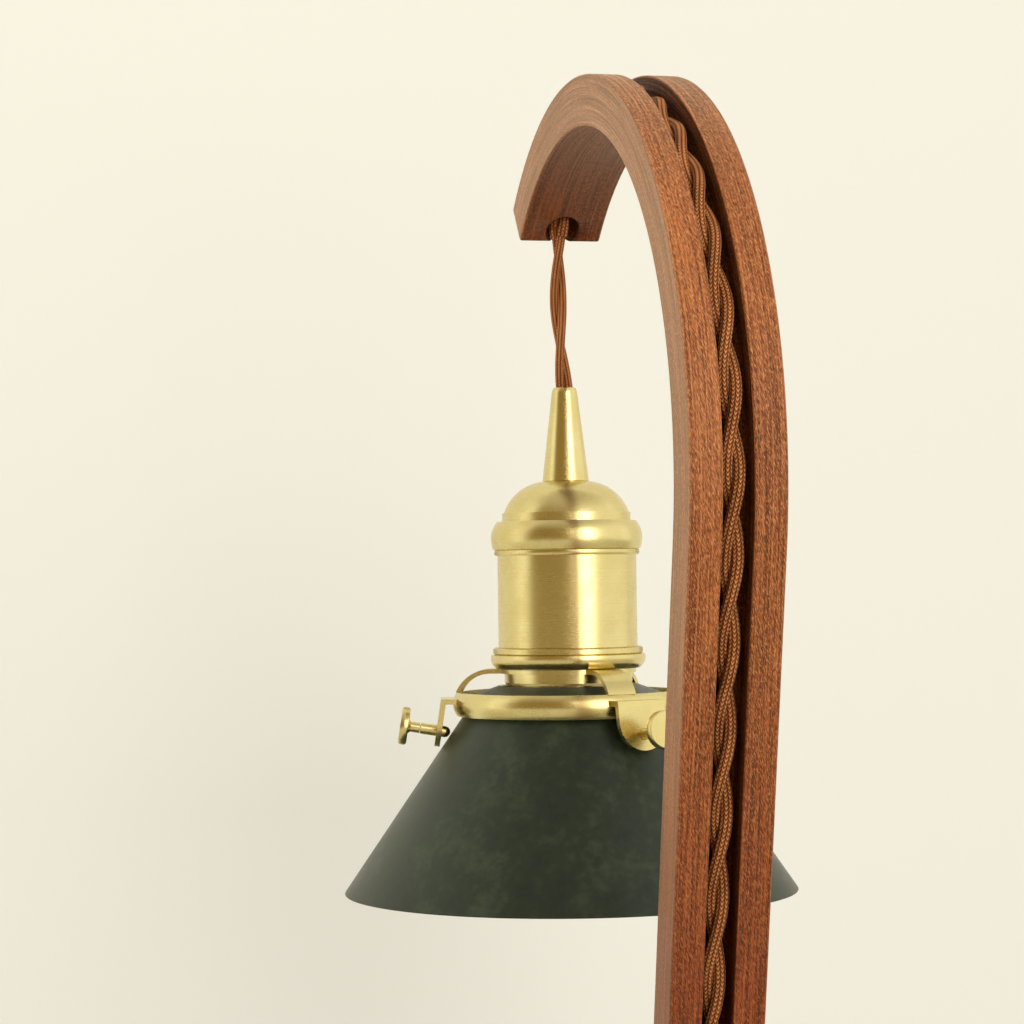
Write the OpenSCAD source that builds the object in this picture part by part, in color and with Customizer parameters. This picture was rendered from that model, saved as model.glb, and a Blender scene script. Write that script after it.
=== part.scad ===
// Candle warmer lamp: a wooden crook on a round base carries a twisted flex in a groove,
// and a brass lampholder with a cone shade hangs from the flex over the candle.
// Millimetres, +Z up, +X from the post towards the lamp, origin at the middle of the base's underside.

/* [Stand] */
// Diameter of the wooden base
base_d = 160; // [150:1:190]
// Thickness of the wooden base
base_t = 20; // [18:1:28]
// Radius of the base's top edge
base_edge_r = 4; // [1:0.5:6]
// Diameter of the felt pad under the base
pad_d = 126; // [100:1:130]
// Thickness of the felt pad
pad_t = 2; // [1:0.5:3]
// Distance from the base's rear edge to the middle of the post
post_inset = 16; // [15:1:24]
// Depth that the post's foot is let into the base
foot_sink = 8; // [5:1:10]
// Height from the base's top to where the post starts to bend
post_h = 228; // [190:1:270]
// Lean of the post towards the rear, in degrees
post_lean = 11; // [6:1:13]

/* [Arm] */
// Width of the wooden arm
arm_w = 22; // [20:1:28]
// Thickness of the wooden arm
arm_t = 12.5; // [12:0.5:16]
// Radius of the bend at the middle of the wood
arch_r = 93; // [85:1:105]
// Angle that the arm bends through, in degrees
arch_turn = 141; // [135:1:145]
// Length of wood from the cord hole's axis to the arm's end
hole_setback = 9; // [7.5:0.5:11]
// Diameter of the cord hole
hole_d = 10; // [9:0.5:11]
// Width of the cord groove
groove_w = 7; // [6.8:0.1:8]
// Depth of the cord groove
groove_d = 8; // [7:0.25:8.5]

/* [Flex] */
// Diameter of one covered strand
strand_d = 2.8; // [2.4:0.1:2.8]
// Gap between the two strands
strand_gap = 0.2; // [0.1:0.05:0.3]
// Length of one twist in the groove
groove_pitch = 37.5; // [30:0.5:60]
// Length of one twist in the hanging drop
drop_pitch = 48; // [36:1:70]
// Radius of the flex's bends at both ends of the groove
flex_bend_r = 14; // [13:0.5:15]
// Length of the drop between the arm and the cord grip
drop_l = 39.2; // [32:0.2:60]

/* [Lampholder] */
// Height of the conical cord grip
grip_h = 25; // [20:1:30]
// Diameter of the cord grip's mouth
grip_top_d = 7.4; // [7.2:0.1:9]
// Diameter of the cord grip's foot
grip_foot_d = 13; // [12.6:0.2:15]
// Height of the cap's dome
dome_h = 8.4; // [7:0.2:10]
// Diameter of the dome's foot
dome_d = 33.4; // [32:0.2:36]
// Height of the plain step under the dome
step_h = 2.2; // [1:0.1:4]
// Largest diameter of the cap's bulged rim
bulge_d = 40.4; // [39.6:0.2:43]
// Height of the cap's bulged rim
bulge_h = 9; // [7:0.5:10]
// Diameter of the lampholder's shell
shell_d = 37; // [36:0.2:38]
// Height of the shell that shows
shell_h = 24.3; // [22:0.1:30]
// Wall of the spun brass pieces
brass_wall = 0.8; // [0.6:0.1:1]
// Outer diameter of the threaded skirt under the shell
skirt_d = 30; // [29.4:0.2:31]
// Largest diameter of the beaded ring nut
nut_d = 41.2; // [39:0.2:44]
// Height of the beaded ring nut
nut_h = 5.7; // [4:0.1:8]
// Diameter of the lower clamp nut
clamp_d = 34; // [33:0.2:34.6]
// Height of the lower clamp nut
clamp_h = 3; // [2:0.2:4]
// Outer diameter of the threaded nipple in the cord grip
nipple_d = 10; // [9.6:0.1:10.4]

/* [Gallery and shade] */
// Thickness of the gallery's sheet brass
strap_t = 1.2; // [0.8:0.1:1.6]
// Width of a gallery strap
strap_w = 8; // [6:0.5:11]
// Distance from the lamp's axis at which a strap begins to bend down
strap_flat = 20.6; // [19:0.2:23]
// Turn of the straps from their lugs about the lamp's axis, in degrees
strap_turn = -5.5; // [-10:0.5:0]
// Drop from the gallery's plate to the top of its ring
strap_drop = 6.1; // [5.8:0.1:7]
// Outer diameter of the gallery ring
ring_d = 61.6; // [61:0.2:64]
// Radial thickness of the gallery ring
ring_t = 2.4; // [2:0.1:2.6]
// Height of the gallery ring
ring_h = 6.2; // [5:0.1:7]
// Depth of the lugs' shelves below the ring's top
shelf_below = 1.5; // [0.5:0.1:2]
// Radius of a lug's round end
lug_r = 7.2; // [6.8:0.1:8]
// Height of a lug's round middle above the thumbscrew's axis
lug_up = 3; // [2:0.1:3.4]
// Distance of a lug's middle from the lamp's axis
lug_out = 34.6; // [34.4:0.1:36]
// Height of the thumbscrew's axis below the ring's top
screw_below = 10.1; // [9.6:0.1:10.4]
// Upward tilt of the thumbscrews, in degrees
screw_tilt = 9; // [6:1:12]
// Diameter of the thumbscrew's thread
thumb_d = 3; // [2.6:0.2:3.4]
// Diameter of the thumbscrew's disc head
thumb_head_d = 10; // [8:0.5:12]
// Thickness of the thumbscrew's disc head
thumb_head_t = 2.2; // [1.6:0.1:3]
// Diameter of the shade's rim
rim_d = 120.4; // [110:0.2:126]
// Height from the foot of the shade's neck to its rim
cone_h = 46.6; // [42:0.2:48]
// Height of the shade's straight neck
neck_h = 4.4; // [4:0.1:6.4]
// Rise of the shade's shoulder above its neck
shoulder_h = 3.6; // [2:0.1:3.8]
// Diameter of the hole in the shade's top
shade_hole_d = 36.4; // [36:0.2:40]
// Wall of the shade
shade_wall = 1.2; // [0.8:0.1:1.6]

/* [Bulb] */
// Diameter of the bulb's screw cap
bulb_cap_d = 26; // [25.6:0.1:26.2]
// Diameter of the bulb's reflector
bulb_d = 50; // [45:1:52]
// Length of the bulb with its cap
bulb_l = 80; // [76:1:82]

/* [Lead, dimmer and plug] */
// Length of the dimmer's case
case_l = 60; // [54:1:66]
// Width of the dimmer's case
case_w = 27; // [24:1:30]
// Wall of the dimmer's case
case_wall = 2; // [1.4:0.1:2.2]
// Diameter of the dimmer's wheel
wheel_d = 18; // [17:0.2:19]
// Width of the dimmer's wheel
wheel_w = 6; // [4:0.5:7]
// Diameter of the wheel's axle
axle_d = 3; // [2:0.2:4]
// Length of the plug's tapered strain relief
plug_relief_l = 22; // [18:1:26]
// Length of the plug's body
plug_l = 32; // [30:1:40]
// Width of the plug's body
plug_w = 26; // [24:1:28]
// Length of the plug's blades outside the body
blade_l = 17; // [15:0.5:18]
// Loops in the lead's coil
coil_loops = 7.25; // [5.25:1:7.25]
// Inner radius of the lead's coil at the middle of its cord
coil_in_r = 20.8; // [19:0.1:21.2]

/* [Fits] */
// Radial clearance of a turning or sliding fit
run_fit = 0.05; // [0.03:0.01:0.1]
// Gap between pieces that seat on each other
seat_gap = 0.15; // [0.1:0.05:0.2]
// Gap between a held soft piece and its seat
soft_gap = 0.3; // [0.2:0.05:0.35]

/* [Hidden] */
$fn = 64;

// Heights and places of the stand
eps = 0.01;
base_top = pad_t + base_t;
post_x = post_inset - base_d / 2;
spring_z = base_top + post_h;
spring_x = post_x - post_h * tan(post_lean);
arch_x = spring_x + arch_r * cos(post_lean);
arch_z = spring_z + arch_r * sin(post_lean);
spring_a = 180 + post_lean;
end_a = spring_a - arch_turn;
hole_a = end_a + hole_setback / arch_r * 180 / PI;
lamp_x = arch_x + arch_r * cos(hole_a);
foot_z = base_top - foot_sink;

// Wood screws through the base into the two rails beside the groove
screw_y = (arm_w + groove_w) / 4;
screw_x = post_x + 0.5;
screw_top = base_top + 12;
screw_core_r = 1.6;
screw_shank_r = 1.9;
screw_head_r = 4;
screw_head_h = 2.4;

// The flex: two strands, seated on the bottom of the groove
flex_d = 2 * strand_d + strand_gap;
strand_out = (strand_d + strand_gap) / 2;
flex_depth = groove_d - soft_gap - flex_d / 2;
flex_off = arm_t / 2 - flex_depth;
flex_arch_r = arch_r + flex_off;
strand_sides = 8;
strand_step = 3.9;

// The held flex runs in through the base's rear notch, up the post, round the arch and down the hole
exit_x = -base_d / 2 - 2;
exit_z = 5;
low_z = exit_z + flex_bend_r;
low_x = post_x + (base_top - low_z) * tan(post_lean) - (flex_off + flex_bend_r) / cos(post_lean);
top_rise = sin(post_lean) * flex_bend_r;
leave_a = acos((lamp_x - arch_x - flex_bend_r) / (flex_arch_r - flex_bend_r));
top_x = lamp_x - flex_bend_r;
top_z = arch_z + (flex_arch_r - flex_bend_r) * sin(leave_a);

// The drop hangs from the lowest edge of the wood
pivot_below = 0.2;
pivot_z = arch_z + (arch_r - arm_t / 2) * sin(end_a) - pivot_below;
pivot_gap = 0.95;
grip_top = pivot_z - drop_l;
spring_flex_x = spring_x - flex_off * cos(post_lean);
spring_flex_z = spring_z - flex_off * sin(post_lean);

len_in = low_x - exit_x;
len_low = flex_bend_r * (90 + post_lean) * PI / 180;
len_post = (spring_flex_z - low_z - top_rise) / cos(post_lean);
len_arch = flex_arch_r * (spring_a - leave_a) * PI / 180;
len_top = flex_bend_r * leave_a * PI / 180;
len_down = top_z - pivot_z - pivot_gap;
at_low = len_in;
at_post = at_low + len_low;
at_arch = at_post + len_post;
at_top = at_arch + len_arch;
at_down = at_top + len_top;
at_end = at_down + len_down;

// Levels of the hanging head, from the cord grip down
cap_top = grip_top - grip_h;
dome_foot = cap_top - dome_h;
bulge_top = dome_foot - step_h;
shell_top = bulge_top - bulge_h;
shell_foot = shell_top - shell_h;
nut_foot = shell_foot - nut_h;
plate_foot = nut_foot - strap_t;
clamp_foot = plate_foot - clamp_h;
ring_top = nut_foot - strap_drop;
ring_foot = ring_top - ring_h;
skirt_foot = clamp_foot - 0.6;
neck_foot = ring_foot;
neck_top = neck_foot + neck_h;
rim_z = neck_foot - cone_h;
screw_z = ring_top - screw_below;

// Lampholder insides
grip_bore_r = flex_d / 2 + 0.2;
nipple_up = 8;
nipple_down = 5;
nipple_bore_r = grip_bore_r + 0.2;
cap_neck_r = shell_d / 2 - brass_wall - 0.4;
cap_neck_h = 5;
insert_r = shell_d / 2 - brass_wall - seat_gap;
insert_foot = shell_foot + brass_wall;
insert_top = shell_top - 2;
insert_floor = insert_top - 4;
socket_wall = 0.4;
socket_r = bulb_cap_d / 2 + 0.2;
contact_t = 0.6;
contact_z = insert_floor - contact_t;
terminal_x = 9;
terminal_head_r = 3;
terminal_head_h = 2;
terminal_core_r = 1.5;
fork_below = 1;
fork_d = pivot_z - cap_top + nipple_down + fork_below;
fork_d_end = pivot_z - insert_top - terminal_head_h - seat_gap;

// Gallery and shade
strap_in_r = skirt_d / 2 + seat_gap;
ring_r = ring_d / 2;
ring_in_r = ring_r - ring_t;
ring_mid_r = ring_in_r + ring_t / 2;
strap_land_r = ring_in_r + strap_t / 2 + seat_gap;
strap_fall = strap_drop - strap_t / 2;
strap_bend_r = ((strap_land_r - strap_flat) ^ 2 + strap_fall ^ 2) / (2 * strap_fall);
neck_r = ring_in_r - soft_gap;
lug_angles = [79, 199, 319];
rim_r = rim_d / 2;
cone_slope = (rim_r - neck_r) / cone_h;
shelf_t = 1.4;
shelf_top = ring_top - shelf_below;
lug_t = 1.4;

// Thumbscrews: the round tip stops just clear of the shade's cone
tip_clear = 0.3;
tip_r = thumb_d / 2;
cone_cos = cos(atan(cone_slope));
lug_shade_gap = lug_out - neck_r - cone_slope * (neck_foot - screw_z);
tip_in = (lug_shade_gap - (tip_r + tip_clear) / cone_cos) / (cos(screw_tilt) + cone_slope * sin(screw_tilt));
stud_out = 5;
spigot_r = 0.8;
spigot_l = 3.6;
thumb_neck_r = spigot_r + 0.6;
thumb_reach = 9.3;

// Bulb levels
bulb_top = contact_z - 0.1;
bulb_cap_top = bulb_top - 3;
bulb_cap_l = 24;
bulb_cap_foot = bulb_cap_top - bulb_cap_l;
bulb_face = bulb_top - bulb_l;
bulb_lens_h = 6;
bulb_wall = 1.4;

// Free lead: route points chosen by hand, on the surface that the base stands on
lead_r = flex_d / 2;
lead_sides = 10;
lead_start_x = -82;
lead_shift = exit_x - lead_start_x;
TO_DIMMER = [
    [lead_start_x - soft_gap, 0, exit_z], [-88, 0, 4.4], [-94, 2, 3.6], [-101, 8, 3], [-105, 17, 3],
    [-106, 27, 3], [-106, 37, 3], [-106, 46, 3], [-109, 57, 3], [-117, 65, 3], [-128, 68, 3.2],
    [-139, 65, 4], [-147, 57, 6], [-150, 46, 8.4], [-150, 38, 9]
];
TO_COIL = [
    [-150, -66, 9], [-150, -73, 8.4], [-153, -81, 7.2], [-160, -87, 5.8], [-170, -90, 4.6],
    [-182, -90, 3.9], [-195, -90, 3.6], [-208, -90, 3.6]
];
TO_PLUG = [[-259, -39, 10], [-259, -32, 10], [-259, -26, 10]];

// The coil: loops wind in on the floor, climb, and wind out again on top
coil_x = -215;
coil_low_z = 3.6;
coil_step = 6.4;
coil_out_r = 44;
coil_y = TO_COIL[len(TO_COIL) - 1][1] + coil_out_r;
coil_rate = 2 * (coil_out_r - coil_in_r) / coil_loops;
coil_sides = 6;
coil_rings = 24;
coil_tail = 7;
tie_t = 0.6;
tie_w = 8;
tie_gap = 0.3;
tie_a = 20;

// Radii of the loops that the tie goes round, and how far the inner loop bows across its width
tie_u = (270 - tie_a) / 360;
tie_radii = [for (k = [0:floor(coil_loops - tie_u)]) coil_radius(tie_u + k)];
tie_bow = coil_in_r - sqrt(coil_in_r ^ 2 - (tie_w / 2) ^ 2);

// Dimmer and plug places
case_end = TO_DIMMER[len(TO_DIMMER) - 1];
case_x = case_end[0];
case_mid_y = (case_end[1] + TO_COIL[0][1]) / 2;
case_mid_z = case_end[2];
case_h = 2 * case_mid_z;
relief_l = case_end[1] - case_mid_y - case_l / 2 - soft_gap;
case_corner_r = 8;
wheel_z = case_h - 6;
wheel_gap = 0.6;
post_t = 2;
bearing_y = wheel_w / 2 + wheel_gap + post_t / 2;
plug_start = TO_PLUG[len(TO_PLUG) - 1];
plug_t = 2 * plug_start[2];
blade_t = 1.5;
blade_w = 6.35;
blade_apart = 12.7;
blade_in = 8;

// Functions

// A point of the held flex's middle line and the normal there, in the plane of the arm
function held(s) =
    s < at_low ? [exit_x + s, exit_z, 0, 1]
    : s < at_post ? turn_point(low_x, low_z, flex_bend_r, -90 + degrees(s - at_low, flex_bend_r), -1)
    : s < at_arch ? post_point(s - at_arch)
    : s < at_top ? turn_point(arch_x, arch_z, flex_arch_r, spring_a - degrees(s - at_arch, flex_arch_r), 1)
    : s < at_down ? turn_point(top_x, top_z, flex_bend_r, leave_a - degrees(s - at_top, flex_bend_r), 1)
    : [lamp_x, top_z - (s - at_down), 1, 0];

function degrees(arc, r) = arc / r * 180 / PI;

function post_point(d) = [
    spring_flex_x - d * sin(post_lean), spring_flex_z + d * cos(post_lean), -cos(post_lean), -sin(post_lean)
];

function turn_point(x, z, r, a, side) = [x + r * cos(a), z + r * sin(a), side * cos(a), side * sin(a)];

// The twist is counted from the spring of the arch, where one strand lies against the groove's far side
function held_twist(s) = -90 - 360 * (s - at_arch) / groove_pitch;

function drop_twist(d) = held_twist(at_end + pivot_gap) - 360 * d / drop_pitch;

// One ring of points round a strand that stands off the middle line in the plane of normal and Y
function strand_ring(p, twist, sides) = [
    for (j = [0:sides - 1])
        let (a = 360 * j / sides,
             n = strand_out * cos(twist) + strand_d / 2 * cos(a),
             y = strand_out * sin(twist) + strand_d / 2 * sin(a))
        [p[0] + p[2] * n, y, p[1] + p[3] * n]
];

function held_rings(side) = let (count = ceil(at_end / strand_step)) [
    for (i = [0:count])
        let (s = at_end * i / count)
        strand_ring(held(s), held_twist(s) + side, strand_sides)
];

// Rings of a strand that hangs straight down the lamp's axis between two depths below the pivot
function hanging_rings(from, to, side) = let (count = ceil((to - from) / strand_step)) [
    for (i = [0:count])
        let (d = from + (to - from) * i / count)
        strand_ring([lamp_x, pivot_z - d, 1, 0], drop_twist(d) + side, strand_sides)
];

// Rings of a holder lead from where the pair forks to its terminal
function fork_rings(side) = let (count = 5, from = drop_twist(fork_d), to = 180 * round(from / 180)) [
    for (i = [1:count])
        let (t = i / count,
             a = from + (to - from) * t + side,
             r = strand_out + (terminal_x - strand_out) * t,
             z = pivot_z - fork_d - (fork_d_end - fork_d) * t)
        [for (j = [0:strand_sides - 1])
            let (q = 360 * j / strand_sides)
            [lamp_x + r * cos(a) + strand_d / 2 * cos(q), r * sin(a) + strand_d / 2 * sin(q), z]]
];

// Rings of a plain tube along route points, kept level from side to side
function unit(v) = v / norm(v);
function tube_rings(points, r, sides) = [
    for (i = [0:len(points) - 1])
        let (a = points[max(i - 1, 0)],
             b = points[min(i + 1, len(points) - 1)],
             t = unit(b - a),
             across = unit(cross(t, [0, 0, 1])),
             up = cross(across, t))
        [for (j = [0:sides - 1])
            let (q = 360 * (j + 0.5) / sides)
            points[i] + r * (cos(q) * across + sin(q) * up)]
];

// The coil's middle line: u counts loops, clockwise from the side nearest the lead
function coil_radius(u) = coil_in_r + coil_rate * abs(u - coil_loops / 2);
function coil_height(u) = let (t = min(max((u - coil_loops / 2) * 2 + 0.5, 0), 1))
    coil_low_z + coil_step * t * t * (3 - 2 * t);
function coil_point(u) = let (a = -90 - 360 * u, r = coil_radius(u))
    [coil_x + r * cos(a), coil_y + r * sin(a), coil_height(u)];
function coil_points() = let (count = round(coil_loops * coil_rings)) concat(
    [coil_point(0) + [coil_tail, 0, 0]],
    [for (i = [0:count]) coil_point(coil_loops * i / count)],
    [coil_point(coil_loops) + [0, coil_tail, 0]]
);

// Shapes that repeat

// A closed skin over rings of points
module skin(rings) {
    m = len(rings);
    n = len(rings[0]);
    sides = [
        for (i = [0:m - 2], j = [0:n - 1])
            let (a = i * n + j, b = i * n + (j + 1) % n)
            each [[a, a + n, b], [b, a + n, b + n]]
    ];
    first = [for (j = [1:n - 2]) [0, j, j + 1]];
    last = [for (j = [1:n - 2]) [(m - 1) * n, (m - 1) * n + j + 1, (m - 1) * n + j]];
    polyhedron([for (r = rings) each r], concat(sides, first, last), convexity = 10);
}

module round_rect(w, h, r) {
    square([w - 2 * r, h], center = true);
    square([w, h - 2 * r], center = true);
    for (x = [-1, 1], y = [-1, 1]) translate([x * (w / 2 - r), y * (h / 2 - r)]) circle(r = r);
}

// A ring between two radii and two heights on the lamp's axis
module lamp_ring(r_out, r_in, z_low, z_high) {
    translate([lamp_x, 0, z_low]) difference() {
        cylinder(r = r_out, h = z_high - z_low);
        translate([0, 0, -1]) cylinder(r = r_in, h = z_high - z_low + 2);
    }
}

// A profile of radius and height, turned round the lamp's axis
module lamp_turned() {
    translate([lamp_x, 0, 0]) rotate_extrude() children();
}

module at_lugs(turn = 0) {
    for (a = lug_angles) translate([lamp_x, 0, 0]) rotate([0, 0, a + turn]) children();
}

// The frame of one thumbscrew: Z runs outwards along its axis from the lug's middle
module at_thumb(i) {
    translate([lamp_x, 0, 0]) rotate([0, 0, lug_angles[i]]) at_lug() children();
}

module at_lug() {
    translate([lug_out, 0, screw_z]) rotate([0, 90 - screw_tilt, 0]) children();
}

// The free lead keeps its route and starts where the base ends
module at_lead() {
    translate([lead_shift, 0, 0]) children();
}

// The frame of the dimmer: X runs along the lead, Z up from the floor
module at_dimmer() {
    at_lead() translate([case_x, case_mid_y, 0]) rotate([0, 0, 90]) children();
}

// The frame of the plug: X runs along the lead towards the blades
module at_plug() {
    at_lead() translate(plug_start) rotate([0, 0, 90]) children();
}

// Stand

module arm_section(grow) {
    translate([arch_r, 0]) square([arm_t + 2 * grow, arm_w + 2 * grow], center = true);
}

module groove_section() {
    translate([arch_r + arm_t / 2 - groove_d + groove_w / 2, 0]) {
        circle(d = groove_w);
        translate([0, -groove_w / 2]) square([groove_d, groove_w]);
    }
}

module along_arch(from, to) {
    translate([arch_x, 0, arch_z]) rotate([90, 0, 0]) rotate([0, 0, from])
        rotate_extrude(angle = to - from) children();
}

module along_post(from, to) {
    translate([arch_x, 0, arch_z]) rotate([90, 0, 0]) rotate([0, 0, spring_a]) translate([0, from, 0])
        rotate([-90, 0, 0]) linear_extrude(to - from) children();
}

post_l = (spring_z - foot_z) / cos(post_lean) + arm_t;

module wood_screw_holes(r) {
    for (y = [-1, 1]) translate([screw_x, y * screw_y, 0]) cylinder(r = r, h = screw_top + seat_gap);
}

// The arm seen from its side: post and arch in one outline, cut off at the arch's end
module arm_outline() {
    out_r = arch_r + arm_t / 2;
    in_r = arch_r - arm_t / 2;
    far = 2 * post_l;
    difference() {
        union() {
            circle(r = out_r);
            rotate(spring_a) square([out_r, post_l]);
        }
        circle(r = in_r);
        rotate(spring_a) translate([-far, 0]) square([far + in_r, far]);
        rotate(end_a) polygon([[0, 0], [far, 0], [far, -far], [0, -far]]);
    }
}

module arm() {
    color("sienna") difference() {
        translate([arch_x, arm_w / 2, arch_z]) rotate([90, 0, 0]) linear_extrude(arm_w) arm_outline();
        along_arch(hole_a, spring_a) groove_section();
        along_post(0, post_l + 1) groove_section();
        translate([lamp_x, 0, arch_z]) cylinder(d = hole_d, h = arch_r + arm_t);
        translate([spring_x - base_d, -base_d / 2, foot_z - base_d]) cube([2 * base_d, base_d, base_d]);
        wood_screw_holes(screw_core_r + seat_gap);
    }
}

module base_profile() {
    difference() {
        translate([0, pad_t]) square([base_d / 2, base_t]);
        translate([base_d / 2 - base_edge_r, base_top - base_edge_r]) square(base_edge_r + 1);
    }
    translate([base_d / 2 - base_edge_r, base_top - base_edge_r]) circle(r = base_edge_r);
}

module base() {
    notch_front = post_x + 2;
    color("sienna") difference() {
        rotate_extrude($fn = 128) base_profile();
        intersection() {
            along_post(0, post_l + 1) arm_section(seat_gap);
            translate([-base_d, -base_d / 2, foot_z]) cube([2 * base_d, base_d, base_d]);
        }
        translate([notch_front - groove_w / 2, 0, -1]) cylinder(d = groove_w, h = base_top + 2);
        translate([-base_d, -groove_w / 2, -1])
            cube([base_d + notch_front - groove_w / 2, groove_w, base_top + 2]);
        wood_screw_holes(screw_shank_r + seat_gap);
        for (y = [-1, 1]) translate([screw_x, y * screw_y, pad_t - eps])
            cylinder(r1 = screw_head_r + seat_gap, r2 = screw_shank_r + seat_gap, h = screw_head_h);
    }
}

module base_pad() {
    color("dimgray") cylinder(d = pad_d, h = pad_t, $fn = 128);
}

module base_screws() {
    color("silver") for (y = [-1, 1]) translate([screw_x, y * screw_y, pad_t]) {
        cylinder(r1 = screw_head_r, r2 = screw_shank_r, h = screw_head_h);
        cylinder(r = screw_shank_r, h = foot_z - pad_t);
        translate([0, 0, foot_z - pad_t]) cylinder(r = screw_core_r, h = screw_top - foot_z - screw_core_r);
        translate([0, 0, screw_top - pad_t - screw_core_r])
            cylinder(r1 = screw_core_r, r2 = 0.3, h = screw_core_r);
    }
}

// Flex

module flex_strand_a() {
    color("saddlebrown") skin(held_rings(0));
}

module flex_strand_b() {
    color("saddlebrown") skin(held_rings(180));
}

module drop_flex() {
    color("saddlebrown") for (side = [0, 180]) skin(hanging_rings(0, drop_l - pivot_gap, side));
}

module holder_leads() {
    color("saddlebrown") for (side = [0, 180])
        skin(concat(hanging_rings(drop_l + pivot_gap, fork_d, side), fork_rings(side)));
}

// Lampholder

module cord_grip() {
    color("goldenrod") lamp_turned() difference() {
        polygon([[0, cap_top], [grip_foot_d / 2, cap_top], [grip_top_d / 2, grip_top], [0, grip_top]]);
        translate([0, cap_top - 1]) square([grip_bore_r, grip_h + 2]);
        translate([0, cap_top - 1]) square([nipple_d / 2 + run_fit, nipple_up + 1 + seat_gap]);
    }
}

module grip_nipple() {
    color("goldenrod") lamp_ring(nipple_d / 2, nipple_bore_r, cap_top - nipple_down, cap_top + nipple_up);
}

// A hexagon nut inside the cap, its top chamfered so that the corners stay clear of the dome
module cap_nut() {
    cap_nut_r = nipple_d / 2 + 3;
    cap_nut_t = 3;
    land_r = grip_foot_d / 2 - seat_gap;
    color("goldenrod") translate([lamp_x, 0, cap_top - brass_wall - cap_nut_t]) difference() {
        intersection() {
            cylinder(r = cap_nut_r, h = cap_nut_t, $fn = 6);
            cylinder(r1 = land_r + cap_nut_t / tan(30), r2 = land_r, h = cap_nut_t);
        }
        translate([0, 0, -1]) cylinder(d = nipple_d + 2 * run_fit, h = cap_nut_t + 2);
    }
}

// The cap's outline: an arc of dome, a plain step and a bulged rim, or the same drawn in by the wall
module cap_outline(in) {
    arc_r = grip_foot_d / 2 - 1.5;
    foot_r = dome_d / 2 - in;
    top_r = grip_foot_d / 2;
    rise = dome_h - in;
    sink = ((top_r - arc_r) ^ 2 + rise ^ 2 - (foot_r - arc_r) ^ 2) / (2 * rise);
    dome_r = sqrt((foot_r - arc_r) ^ 2 + sink ^ 2);
    intersection() {
        translate([arc_r, dome_foot + sink]) circle(r = dome_r);
        translate([0, dome_foot]) square([foot_r, rise]);
    }
    translate([0, dome_foot]) square([arc_r, rise]);
}

module holder_cap() {
    step_r = dome_d / 2 + 0.4;
    edge_r = shell_d / 2 + 0.1;
    bulge_out = bulge_d / 2;
    bulge_mid = shell_top + bulge_h / 2;
    bulge_r = ((bulge_out - edge_r) ^ 2 + (bulge_h / 2) ^ 2) / (2 * (bulge_out - edge_r));
    color("goldenrod") lamp_turned() difference() {
        union() {
            cap_outline(0);
            translate([0, bulge_top]) square([step_r, step_h]);
            intersection() {
                translate([bulge_out - bulge_r, bulge_mid]) circle(r = bulge_r);
                translate([0, shell_top]) square([bulge_out, bulge_h]);
            }
        }
        cap_outline(brass_wall);
        translate([0, bulge_top - 1]) square([dome_d / 2 - brass_wall, step_h + 1 + eps]);
        translate([0, shell_top - 1]) square([cap_neck_r + seat_gap, cap_neck_h + 1 + seat_gap]);
        translate([0, shell_top]) square([dome_d / 2 - brass_wall, bulge_h]);
        translate([0, shell_top]) square([nipple_d / 2 + run_fit, cap_top]);
    }
}

module holder_shell() {
    color("goldenrod") lamp_turned() difference() {
        union() {
            translate([0, shell_foot]) square([shell_d / 2, shell_h]);
            translate([0, shell_top - 1]) square([cap_neck_r, cap_neck_h + 1]);
            translate([0, skirt_foot]) square([skirt_d / 2, shell_foot - skirt_foot + 1]);
        }
        translate([0, skirt_foot - 1])
            square([skirt_d / 2 - brass_wall, shell_foot - skirt_foot + 1 + brass_wall]);
        translate([0, insert_foot]) square([insert_r + seat_gap, insert_top - insert_foot + seat_gap]);
        translate([0, insert_foot]) square([cap_neck_r - brass_wall, shell_h + cap_neck_h + 1]);
    }
}

module holder_insert() {
    color("white") difference() {
        lamp_turned() difference() {
            translate([0, insert_foot]) square([insert_r, insert_top - insert_foot]);
            translate([0, insert_foot - 1])
                square([socket_r + socket_wall + seat_gap, insert_floor - insert_foot + 1]);
        }
        for (x = [-1, 1]) translate([lamp_x + x * terminal_x, 0, insert_floor - 1])
            cylinder(r = terminal_core_r + seat_gap, h = 6);
    }
}

module screw_shell() {
    color("goldenrod") lamp_ring(socket_r + socket_wall, socket_r, skirt_foot + 3, insert_floor);
}

module centre_contact() {
    contact_l = 14;
    contact_w = 5;
    color("peru") translate([lamp_x - contact_l / 2, -contact_w / 2, contact_z])
        cube([contact_l, contact_w, contact_t]);
}

module terminal_screws() {
    color("silver") for (x = [-1, 1]) translate([lamp_x + x * terminal_x, 0, insert_top]) {
        cylinder(r = terminal_head_r, h = terminal_head_h);
        translate([0, 0, -3]) cylinder(r = terminal_core_r, h = 3 + eps);
    }
}

module shade_nut() {
    edge_r = nut_d / 2 - 1.6;
    bulge_r = ((nut_d / 2 - edge_r) ^ 2 + (nut_h / 2) ^ 2) / (2 * (nut_d / 2 - edge_r));
    color("goldenrod") lamp_turned() difference() {
        intersection() {
            translate([nut_d / 2 - bulge_r, nut_foot + nut_h / 2]) circle(r = bulge_r);
            translate([0, nut_foot]) square([nut_d, nut_h]);
        }
        translate([0, nut_foot - 1]) square([skirt_d / 2 + run_fit, nut_h + 2]);
    }
}

module clamp_nut() {
    chamfer = 0.6;
    color("goldenrod") lamp_turned() difference() {
        translate([0, clamp_foot]) polygon([
            [0, 0], [clamp_d / 2 - chamfer, 0], [clamp_d / 2, chamfer], [clamp_d / 2, clamp_h], [0, clamp_h]
        ]);
        translate([0, clamp_foot - 1]) square([skirt_d / 2 + run_fit, clamp_h + 2]);
    }
}

// Gallery

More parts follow.
